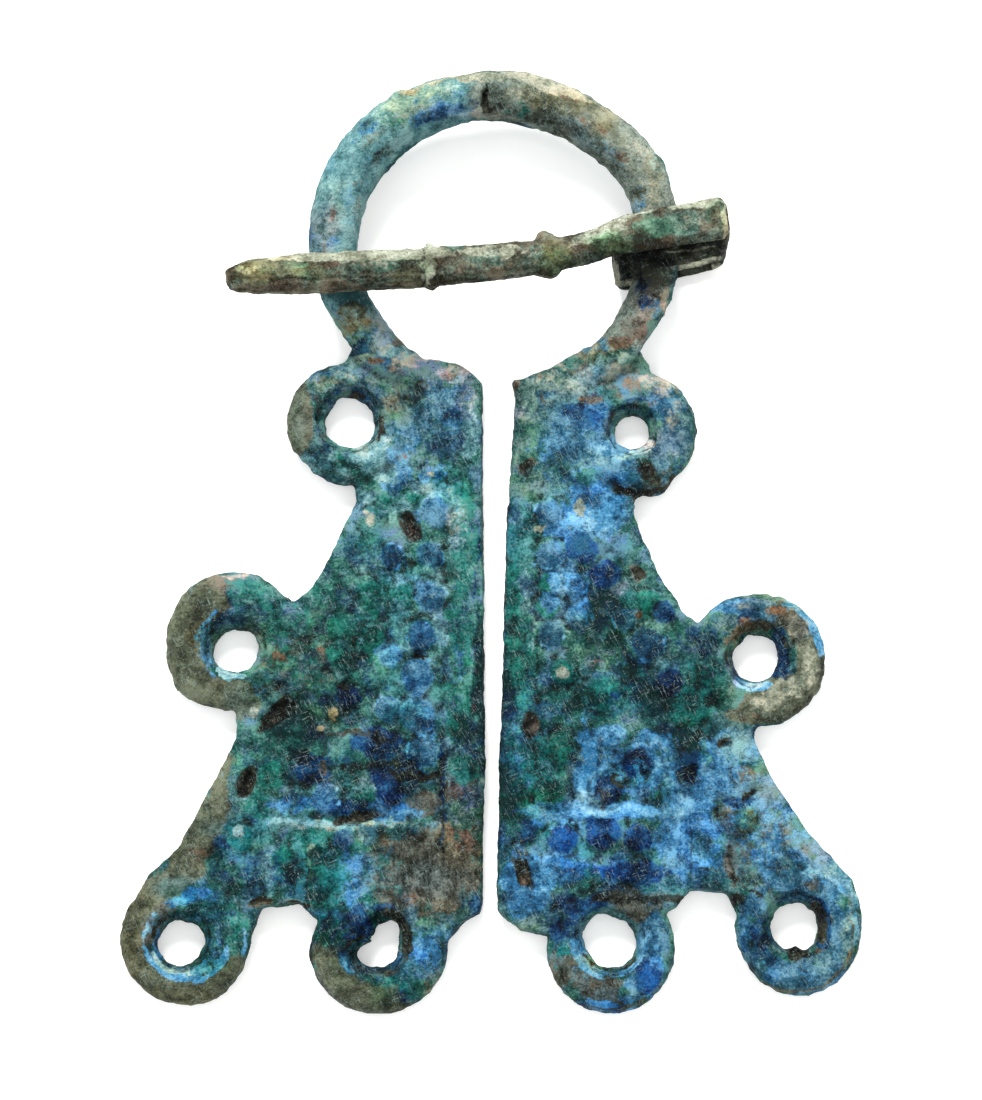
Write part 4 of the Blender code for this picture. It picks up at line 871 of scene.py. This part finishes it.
def round_pellets(places, pellets):
    """The thin pale rims of pellets."""
    cover = np.zeros(len(places))
    for x, y, radius in pellets:
        away = np.hypot(places[:, 0] - x, places[:, 1] - y) - radius
        cover = np.maximum(cover, fading(np.abs(away), *PELLET_RIM_FADE))
    return cover


def as_patches(pellets, strength, grow):
    """A round patch on each pellet, larger or smaller than it."""
    return [Patch(x, y, radius * grow, radius * grow, strength) for x, y, radius in pellets]


def dense_copy(node, name, voxel):
    """A finely and evenly meshed copy of a solid, to carve the corroded surface into."""
    piece = bpy.data.objects.new(name, node.data.copy())
    bpy.context.scene.collection.objects.link(piece)
    modifier = piece.modifiers.new("dense", "REMESH")
    modifier.mode = "VOXEL"
    modifier.voxel_size = voxel * MM
    settle(piece)
    return piece


def settle(piece):
    """Applies the modifiers of a piece."""
    bpy.context.view_layer.update()
    evaluated = piece.evaluated_get(bpy.context.evaluated_depsgraph_get())
    mesh = bpy.data.meshes.new_from_object(evaluated)
    piece.modifiers.clear()
    piece.data = mesh
    mesh.shade_smooth()


def vertices_of(piece):
    """Places and normals of a piece's vertices, places in millimetres."""
    count = len(piece.data.vertices)
    places = np.empty(count * 3)
    piece.data.vertices.foreach_get("co", places)
    normals = np.empty(count * 3)
    piece.data.vertex_normals.foreach_get("vector", normals)
    return places.reshape(-1, 3) / MM, normals.reshape(-1, 3)


def place_vertices(piece, places, box):
    """Moves a piece's vertices, none of them past the box of the solids."""
    low, high = (np.array(corner) / MM for corner in box)
    piece.data.vertices.foreach_set("co", (np.clip(places, low, high) * MM).ravel())
    piece.data.update()


def edges_of(piece):
    """The pairs of vertices that edges join."""
    pairs = np.empty(len(piece.data.edges) * 2, dtype=np.int64)
    piece.data.edges.foreach_get("vertices", pairs)
    return pairs.reshape(-1, 2)


def averaged(places, edges, rounds):
    """Places smoothed over their neighbours along the edges."""
    count = len(places)
    degree = np.maximum(np.bincount(edges.ravel(), minlength=count), 1)[:, None]
    for _ in range(rounds):
        total = np.zeros_like(places)
        for axis in range(3):
            for near, far in ((0, 1), (1, 0)):
                total[:, axis] += np.bincount(edges[:, near], places[edges[:, far], axis], minlength=count)
        places = total / degree
    return places


def hollows(piece):
    """How deep each vertex lies below its surroundings, in millimetres, negative on crests."""
    places, normals = vertices_of(piece)
    around = averaged(places, edges_of(piece), HOLLOW_ROUNDS)
    return ((around - places) * normals).sum(axis=1)


def thin_back(piece):
    """Coarser faces on the flat back, which has no fine relief."""
    places, normals = vertices_of(piece)
    back = np.flatnonzero((places[:, 2] < BACK_HEIGHT) & (normals[:, 2] < BACK_TILT))
    group = piece.vertex_groups.new(name="back")
    group.add(back.tolist(), 1.0, "REPLACE")
    modifier = piece.modifiers.new("thin", "DECIMATE")
    modifier.ratio = CASTING_KEPT
    modifier.vertex_group = "back"
    settle(piece)


def pellet_relief(seen):
    """Heights of the pellets and of the moats round them, over the plate."""
    rise = np.zeros(len(seen))
    moat = np.zeros(len(seen))
    for x, y, radius in (*SLATE_PELLETS, *DEEP_PELLETS, *GREEN_PELLETS, *DULL_PELLETS):
        away = np.hypot(seen[:, 0] - x, seen[:, 1] - y) / radius
        rise = np.maximum(rise, np.clip(1 - (away / PELLET_FOOT) ** 2, 0, 1) ** PELLET_ROUND)
        moat = np.maximum(moat, smooth(away, *MOAT_STARTS) * fading(away, *MOAT_ENDS))
    return PELLET_RISE * rise - PELLET_MOAT * moat * (rise < PELLET_EDGE)


def line_relief(seen, lines):
    """Heights of raised and sunken lines."""
    total = np.zeros(len(seen))
    for line in lines:
        start = np.array([line.x0, line.y0])
        run = np.array([line.x1, line.y1]) - start
        share = np.clip(((seen - start) @ run) / (run @ run), 0, 1)
        away = np.linalg.norm(seen - start - share[:, None] * run, axis=1)
        total += line.rise * fading(away, LINE_FADE[0], line.half * LINE_FADE[1])
    return total


def lump_relief(seen, lumps):
    """Heights of lumps and holes."""
    total = np.zeros(len(seen))
    for lump in lumps:
        total += lump.rise * fading(away_from(seen, lump), *LUMP_FADE)
    return total


def on_field(seen, places, normals):
    """1 on the plates' flat fields, falling to 0 on the eyelets, the hoop's legs and the edges."""
    free = smooth(seen[:, 1], *FIELD_TOP)
    for eyelet in EYELETS.values():
        away = np.hypot(seen[:, 0] - eyelet.x, seen[:, 1] - eyelet.y)
        free = free * smooth(away, eyelet.outer + FIELD_RIM[0], eyelet.outer + FIELD_RIM[1])
    return free * smooth(places[:, 2], *FIELD_HEIGHT) * smooth(normals[:, 2], *FIELD_LEVEL)


def crust_on(name, offset, crusts):
    """How far the crusts of one eyelet have grown, at offsets from its middle."""
    grown = np.zeros(len(offset))
    for crust in crusts:
        if crust.eyelet == name:
            turn = turn_from(offset, crust.angle)
            grown += crust.growth * fading(turn, CRUST_CORE * crust.reach, crust.reach)
    return grown


def eyelet_crust(seen, places):
    """How far the holes have grown inwards and the rims outwards, as vectors across the plate."""
    shift = np.zeros_like(places)
    for name, eyelet in EYELETS.items():
        offset = seen - (eyelet.hole_x, eyelet.hole_y)
        away = np.hypot(offset[:, 0], offset[:, 1])
        inward = np.column_stack((-offset[:, 0], offset[:, 1])) / np.maximum(away, 1)[:, None]
        near = fading(away, eyelet.hole + HOLE_CRUST_FADE[0], eyelet.hole + HOLE_CRUST_FADE[1])
        grown = CRUST_ROUGHNESS * rough(places, 0.9, 71) + CRUST_LEAST + crust_on(name, offset, CRUSTS)
        shift[:, :2] += inward * (grown * near)[:, None]
        past = away - eyelet.outer
        near = smooth(past, *RIM_CRUST_STARTS) * fading(past, *RIM_CRUST_ENDS)
        grown = crust_on(name, offset, RIM_CRUSTS) * (1 + RIM_ROUGHNESS * noise(places, 0.5, 73))
        shift[:, :2] -= inward * (grown * near)[:, None]
    return shift


def weather_casting(piece, box):
    """Carves the casting's pellets, lines, holes and crusts and its corroded skin."""
    places, normals = vertices_of(piece)
    seen = seen_at(places)
    warped = seen + CASTING_WANDER * wander(places, 1.1, 11)
    level = PLATE + (pellet_relief(warped) + line_relief(warped, RIDGES))
    moved = places.copy()
    moved[:, 2] += on_field(seen, places, normals) * (level - places[:, 2])
    moved += eyelet_crust(seen, places)
    edge = 1 - np.abs(normals[:, 2])
    back = fading(normals[:, 2], -0.9, -0.4)
    skin = relief(places, CASTING_RELIEF) * (1 - BACK_SMOOTHED * back)
    lumps = lump_relief(warped, LUMPS) * facing(normals, -0.1, 0.35)
    lift = skin + edge * relief(places, EDGE_RELIEF) + lumps
    moved += normals * lift[:, None]
    place_vertices(piece, moved, box)


def weather_pin(piece, box):
    """Carves the pin's collars, knobs and pits and its corroded skin."""
    places, normals = vertices_of(piece)
    warped = seen_at(places) + PIN_WANDER * wander(places, 0.8, 15)
    lumps = lump_relief(warped, PIN_LUMPS) * facing(normals, -0.3, 0.2)
    lift = relief(places, PIN_RELIEF) + lumps
    place_vertices(piece, places + normals * lift[:, None], box)


def write_cover(piece, name, cover):
    """Stores a cover on the mesh, for the material."""
    attribute = piece.data.attributes.new(name, "FLOAT", "POINT")
    attribute.data.foreach_set("value", cover.astype(np.float32))


def write_covers(piece, places, up, covers, unseen):
    """Stores the minerals' covers, and what takes their place where the camera doesn't look."""
    for name, (below, swing, size, seed) in unseen.items():
        hidden = below + swing * noise(places, size, seed)
        write_cover(piece, name, up * covers[name] + (1 - up) * hidden)


def write_stains(piece, seen, up, stains, lighter, darker):
    """Stores the thin stains, and where the minerals are lighter or darker, painted shadows among the
    darker places.
    """
    for name, patches in stains.items():
        write_cover(piece, name, up * spread(seen, patches))
    write_cover(piece, "light", up * (spread(seen, lighter) - spread(seen, darker)))


def cover_casting(piece):
    """Where each mineral covers the casting, with painted shade and painted highlights on the eyelets' hole
    walls.
    """
    places, normals = vertices_of(piece)
    spot = seen_at(places)
    warp = wander(places, 1.3, 13)
    close = wander(places, 0.5, 14)
    wanders = (WIDE_WANDER, NEAR_WANDER, LOOSE_WANDER)
    seen, near, loose = (spot + coarse * warp + fine * close for coarse, fine in wanders)
    up = facing(normals, -0.25, 0.15)
    worn = WORN_LEAST + WORN_MORE * smooth(rough(places, 1.1, 29), -0.7, 0.3)
    olive = along_arcs(near, OLIVE_ARCS)
    brown = along_arcs(near, BROWN_ARCS, worn)
    bare = 1 - np.clip(most(olive, brown), 0, 1)
    ringed = (*SLATE_PELLETS, *GREEN_PELLETS)
    ring = spread(seen, as_patches(ringed, *PELLET_RING))
    ring = ring * (1 - spread(seen, as_patches((*ringed, *DEEP_PELLETS), 1.0, 1.0)))
    rims = PELLET_RIM * smooth(rough(places, 0.7, 19), -0.2, 0.6) * round_pellets(near, SLATE_PELLETS)
    covers = {
        "azure": most(spread(seen, AZURE), spread(seen, as_patches(SLATE_PELLETS, *PELLET_HALO))) * bare,
        "sky": most(spread(seen, SKY) * bare, along_arcs(near, SKY_ARCS, worn), rims),
        "slate": most(
            spread(near, as_patches(SLATE_PELLETS, *SLATE_PELLET)),
            spread(seen, SLATE),
            along_arcs(near, SLATE_ARCS, worn),
        ),
        "deep": most(
            spread(seen, DEEP) * bare,
            spread(near, as_patches(DEEP_PELLETS, *DEEP_PELLET)),
            along_arcs(near, DEEP_ARCS, worn),
        ),
        "green": most(spread(seen, GREEN) * bare, spread(near, as_patches(GREEN_PELLETS, *GREEN_PELLET))),
        "brown": most(spread(seen, BROWN), brown),
        "olive": most(spread(seen, OLIVE) * (1 - brown), olive),
        "haze": most(spread(seen, HAZE), ring) * bare,
        # Dirt, and painted shade on the hole walls from the dark arcs
        "dirt_and_shade": most(spread(seen, DIRT), along_arcs(near, DARK_ARCS, worn)),
        "rust": spread(near, RUST),
        "pale": spread(loose, PALE),
        # Painted highlights on the holes' lit south walls
        "frost_and_highlight": along_arcs(near, HIGHLIGHT_ARCS, worn),
        "limb": spread(seen, along_hoop(*HOOP_BLUE)),
        "grey": spread(seen, along_hoop(*HOOP_GREY)),
    }
    write_covers(piece, places, up, covers, UNSEEN)
    write_cover(piece, "hollow", hollows(piece) / CASTING_HOLLOW)
    stains = {"blue": BLUER, "warm": WARMER, "leaf": GREENER, "dull": GREYER, "brushed": BRUSHED}
    write_stains(piece, seen, up, stains, LIGHTER, DARKER)


def cover_pin(piece):
    """Where each mineral covers the pin, and where painted shade and a painted highlight lie on its head.
    """
    places, normals = vertices_of(piece)
    spot = seen_at(places)
    warp = wander(places, 0.8, 17)
    seen = spot + PIN_PATCH_WANDER * warp
    up = facing(normals, -0.4, 0.0)
    patches = {"pale": PIN_PALE, "teal": PIN_TEAL, "dark": PIN_DARK, "rust": PIN_RUST}
    covers = {name: spread(seen, marks) for name, marks in patches.items()}
    write_covers(piece, places, up, covers, PIN_UNSEEN)
    # Painted shade on the head's inner laps, which lie lower than the outer lap
    lower = smooth(HEAD_TOP - places[:, 2], *HEAD_DEPTHS)
    lower = lower * smooth(places[:, 0], HEAD_START, HEAD_START + HEAD_BLEND)
    write_cover(piece, "recess_shade", lower)
    # A painted highlight along the edges of the inner laps
    write_cover(piece, "rim", lower * spread(spot + PIN_RIM_WANDER * warp, PIN_RIM_HIGHLIGHT))
    write_cover(piece, "hollow", hollows(piece) / PIN_HOLLOW)
    stains = {"blue": [], "warm": PIN_WARMER, "leaf": PIN_GREENER, "dull": [], "brushed": []}
    write_stains(piece, seen, up, stains, PIN_LIGHTER, PIN_DARKER)


def colour(code):
    """A colour written as #rrggbb, as linear light."""
    parts = [int(code[i:i + 2], 16) / 255 for i in (1, 3, 5)]
    return (*[part / 12.92 if part <= 0.04045 else ((part + 0.055) / 1.055) ** 2.4 for part in parts], 1)


class Shader:
    """Short ways to add the nodes of one material."""

    def __init__(self, name):
        self.material = bpy.data.materials.new(name)
        self.material.use_nodes = True
        self.tree = self.material.node_tree
        self.surface = self.tree.nodes["Principled BSDF"]
        self.where = self.add("TexCoord").outputs["Object"]

    def add(self, kind, inputs=None, **settings):
        """A node with its inputs joined or set."""
        made = self.tree.nodes.new("ShaderNode" + kind)
        for key, value in settings.items():
            setattr(made, key, value)
        for key, value in (inputs or {}).items():
            self.give(made.inputs[key], value)
        return made

    def give(self, socket, value):
        """Joins a socket to another one, or sets its value."""
        if isinstance(value, bpy.types.NodeSocket):
            self.tree.links.new(value, socket)
        else:
            socket.default_value = value

    def cover(self, name):
        """A cover stored on the mesh."""
        return self.add("Attribute", attribute_name=name).outputs["Fac"]

    def math(self, operation, *values):
        """The result of one operation on values."""
        made = self.add("Math", operation=operation)
        for socket, value in zip(made.inputs, values):
            self.give(socket, value)
        return made.outputs[0]

    def noise(self, size, detail=4.0, roughness=0.6, shift=0.0, stretch=(1, 1, 1), turn=0.0, curl=0.0):
        """Noise from 0 to 1 with bumps of about a size in millimetres, and its own place in the pattern."""
        place = {"Location": (shift, shift / 2, -shift), "Rotation": (0, 0, turn), "Scale": stretch}
        mapping = self.add("Mapping", {"Vector": self.where, **place}, vector_type="TEXTURE")
        form = {"Detail": detail, "Roughness": roughness, "Distortion": curl}
        made = self.add("TexNoise", {"Vector": mapping.outputs[0], "Scale": 1 / (size * MM), **form})
        return made.outputs["Fac"]

    def centred(self, size, detail, roughness, shift):
        """Noise from -0.5 to 0.5."""
        return self.math("SUBTRACT", self.noise(size, detail, roughness, shift), 0.5)

    def step(self, value, low, high, bottom=0.0, top=1.0):
        """An even rise from bottom to top, as a value goes from low to high."""
        made = self.add(
            "MapRange",
            {"Value": value, "From Min": low, "From Max": high, "To Min": bottom, "To Max": top},
            interpolation_type="SMOOTHSTEP",
        )
        return made.outputs["Result"]

    def ramp(self, value, *stops):
        """Colours along a value, given as (place, code) stops."""
        made = self.add("ValToRGB", {"Fac": value})
        elements = made.color_ramp.elements
        while len(elements) < len(stops):
            elements.new(0.5)
        for element, (place, code) in zip(elements, stops):
            element.position = place
            element.color = colour(code)
        return made.outputs["Color"]

    def mix(self, share, under, over, blend="MIX"):
        """One colour over another, as far as a share says."""
        made = self.add("Mix", data_type="RGBA", blend_type=blend, clamp_factor=True)
        self.give(made.inputs[0], share)
        self.give(made.inputs[6], under)
        self.give(made.inputs[7], over)
        return made.outputs[2]

    def draw(self, shade, share, strength, code):
        """A shade with a colour drawn over it, where a share says and no stronger than a strength."""
        return self.mix(self.math("MULTIPLY", share, strength), shade, colour(code))


def mineral_shader(name, grounds, layers, fibres):
    """A surface of minerals over each other, with dirt and painted shade in hollows, then pits, cracks,
    fibres and grains.
    """
    shader = Shader(name)
    drift = shader.noise(size=2.6, detail=3, roughness=0.5, shift=0.1)
    middle = shader.noise(size=0.8, detail=5, roughness=0.65, shift=0.3)
    fine = shader.noise(size=0.16, detail=3, roughness=0.6, shift=0.7)
    strokes = shader.noise(size=0.18, detail=4, roughness=0.7, shift=1.7, stretch=(1, 6, 1))
    tone = TONE_START
    for part, weight in zip((drift, middle, fine), TONE_WEIGHTS):
        tone = shader.math("MULTIPLY_ADD", part, weight, tone)
    brushed = shader.math("MULTIPLY", shader.cover("brushed"), shader.math("SUBTRACT", strokes, 0.5))
    tone = shader.math("MULTIPLY_ADD", brushed, BRUSHED_WEIGHT, tone)
    tone = shader.math("MULTIPLY_ADD", shader.cover("light"), LIGHT_WEIGHT, tone)

    def shade_of(codes):
        """A mineral's colour at the tone of each place."""
        return shader.ramp(tone, *zip(TONE_STOPS, codes))

    shade = shade_of(grounds[0])
    for shift, ground in zip((1.1, 2.7), grounds[1:]):
        share = shader.step(shader.noise(size=1.6, detail=5, roughness=0.6, shift=shift), 0.44, 0.56)
        shade = shader.mix(share, shade, shade_of(ground))
    for cover, shift, ragged, codes in layers:
        wide = shader.centred(size=1.0, detail=3, roughness=0.55, shift=shift)
        close = shader.centred(size=0.3, detail=4, roughness=0.65, shift=shift + 0.4)
        level = shader.math("MULTIPLY_ADD", wide, ragged, shader.cover(cover))
        level = shader.math("MULTIPLY_ADD", close, ragged, level)
        shade = shader.mix(shader.step(level, 0.3, 0.7), shade, shade_of(codes))
    for stain, tint in STAINS.items():
        shade = shader.mix(shader.cover(stain), shade, tint, "MULTIPLY")

    # Dirt with painted shade in the hollows, where the middle noise is low
    sunken = shader.step(shader.cover("hollow"), 0.0, 1.5)
    crevice_dirt_and_shade = shader.math("MULTIPLY", sunken, shader.step(middle, 0.62, 0.42, 0.2))
    shade = shader.draw(shade, crevice_dirt_and_shade, *CREVICE_DIRT_AND_SHADE)
    pits = shader.step(shader.noise(size=0.22, detail=2, roughness=0.6, shift=4.3), 0.36, 0.29)
    shade = shader.draw(shade, pits, *PITS)
    away = shader.math("ABSOLUTE", shader.centred(size=1.3, detail=4, roughness=0.6, shift=5.1))
    shade = shader.draw(shade, shader.step(away, 0.012, 0.0), *CRACKS)
    thick = shader.step(shader.noise(size=1.4, detail=3, roughness=0.6, shift=8.8), 0.4, 0.62, 0.1)
    for turn, shift in ((0.4, 1.3), (-1.1, 1.9), (2.0, 2.3)):
        fibre = shader.noise(0.07, 1, 0.5, shift, stretch=(7, 1, 7), turn=turn, curl=0.7)
        share = shader.math("MULTIPLY", shader.step(fibre, 0.62, 0.74), thick)
        shade = shader.draw(shade, share, fibres, FIBRE_COLOUR)
    grains = shader.step(shader.noise(size=0.13, detail=1, roughness=0.5, shift=7.7), 0.68, 0.76)
    shade = shader.draw(shade, grains, fibres * GRAINS, GRAIN_COLOUR)
    shade = shader.mix(1.0, shade, (ALBEDO, ALBEDO, ALBEDO, 1), "MULTIPLY")
    shader.give(shader.surface.inputs["Base Color"], shade)

    gloss = shader.noise(size=0.4, detail=5, roughness=0.6, shift=3.1)
    shader.give(shader.surface.inputs["Roughness"], shader.step(gloss, 0.35, 0.65, *ROUGHNESS))
    height = shader.math("MULTIPLY_ADD", middle, 0.7, shader.math("MULTIPLY", fine, 0.3))
    bump = shader.add("Bump", {"Height": height, "Strength": BUMP_STRENGTH, "Distance": BUMP_HEIGHT * MM})
    shader.give(shader.surface.inputs["Normal"], bump.outputs[0])
    shader.surface.inputs["Specular IOR Level"].default_value = SHEEN
    return shader.material


def make_casting(node, box):
    """The corroded casting, in the place of its solid."""
    piece = dense_copy(node, "casting_surface", CASTING_VOXEL)
    thin_back(piece)
    weather_casting(piece, box)
    cover_casting(piece)
    piece.data.materials.clear()
    patina = mineral_shader("casting_patina", CASTING_GROUNDS, CASTING_LAYERS, CASTING_FIBRES)
    piece.data.materials.append(patina)
    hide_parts("hoop_with_plates")
    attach(piece, "casting")


def make_pin(node, box):
    """The corroded pin, in the place of its solid."""
    piece = dense_copy(node, "pin_surface", PIN_VOXEL)
    weather_pin(piece, box)
    cover_pin(piece)
    piece.data.materials.clear()
    patina = mineral_shader("pin_patina", PIN_GROUNDS, PIN_LAYERS, PIN_FIBRES)
    piece.data.materials.append(patina)
    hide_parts("pin")
    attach(piece, "pin")


def make_floor():
    """A pale, overlit floor, a hair below the brooch."""
    mesh = bpy.data.meshes.new("floor")
    corners = [(x * FLOOR_HALF, y * FLOOR_HALF, 0) for x, y in ((-1, -1), (1, -1), (1, 1), (-1, 1))]
    mesh.from_pydata(corners, [], [(0, 1, 2, 3)])
    floor = bpy.data.objects.new("floor", mesh)
    bpy.context.scene.collection.objects.link(floor)
    floor.location.z = -FLOOR_DROP * MM
    shader = Shader("pale_floor")
    shade = shader.ramp(shader.noise(size=3, detail=6), (0.3, "#f2f2f0"), (0.7, "#fafaf8"))
    shader.give(shader.surface.inputs["Base Color"], shade)
    shader.surface.inputs["Roughness"].default_value = 0.9
    shader.surface.inputs["Emission Color"].default_value = (1, 1, 1, 1)
    shader.surface.inputs["Emission Strength"].default_value = FLOOR_GLOW
    mesh.materials.append(shader.material)


def make_light(name, tint, azimuth, elevation, distance, size, power):
    """A soft square light that looks at the brooch."""
    turn = math.radians(azimuth)
    rise = math.radians(elevation)
    offset = Vector((math.sin(turn) * math.cos(rise), math.cos(turn) * math.cos(rise), math.sin(rise)))
    data = bpy.data.lights.new(name, "AREA")
    data.size = size
    data.energy = power
    data.color = tint
    light = bpy.data.objects.new(name, data)
    bpy.context.scene.collection.objects.link(light)
    light.location = offset * distance
    light.rotation_euler = offset.to_track_quat("Z", "Y").to_euler()


def make_world():
    """Even white daylight from all round."""
    world = bpy.data.worlds.new("daylight")
    world.use_nodes = True
    background = world.node_tree.nodes["Background"]
    background.inputs["Color"].default_value = (1, 1, 1, 1)
    background.inputs["Strength"].default_value = SKYLIGHT
    bpy.context.scene.world = world
    bpy.context.scene.view_settings.view_transform = "Standard"


def make_camera():
    """The camera, which sees the brooch as large as in the picture."""
    data = bpy.data.cameras.new("camera")
    data.sensor_width = SENSOR
    data.lens = SENSOR * CAMERA_DISTANCE / (PICTURE[1] * PIXEL)
    data.clip_start, data.clip_end = CAMERA_CLIP
    camera = bpy.data.objects.new("camera", data)
    bpy.context.scene.collection.objects.link(camera)
    camera.location = EYE * MM
    camera.rotation_euler = (math.pi / 2 - CAMERA_ELEVATION, 0, 0)
    bpy.context.scene.camera = camera


def main():
    """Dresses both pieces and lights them."""
    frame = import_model()
    cad_box = [list(corner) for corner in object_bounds()]
    make_casting(frame["nodes"]["hoop_with_plates"], cad_box)
    make_pin(frame["nodes"]["pin"], cad_box)
    make_floor()
    make_world()
    make_light("window", WINDOW_TINT, **WINDOW)
    make_light("ceiling", CEILING_TINT, **CEILING)
    make_camera()
    bpy.context.view_layer.update()


main()
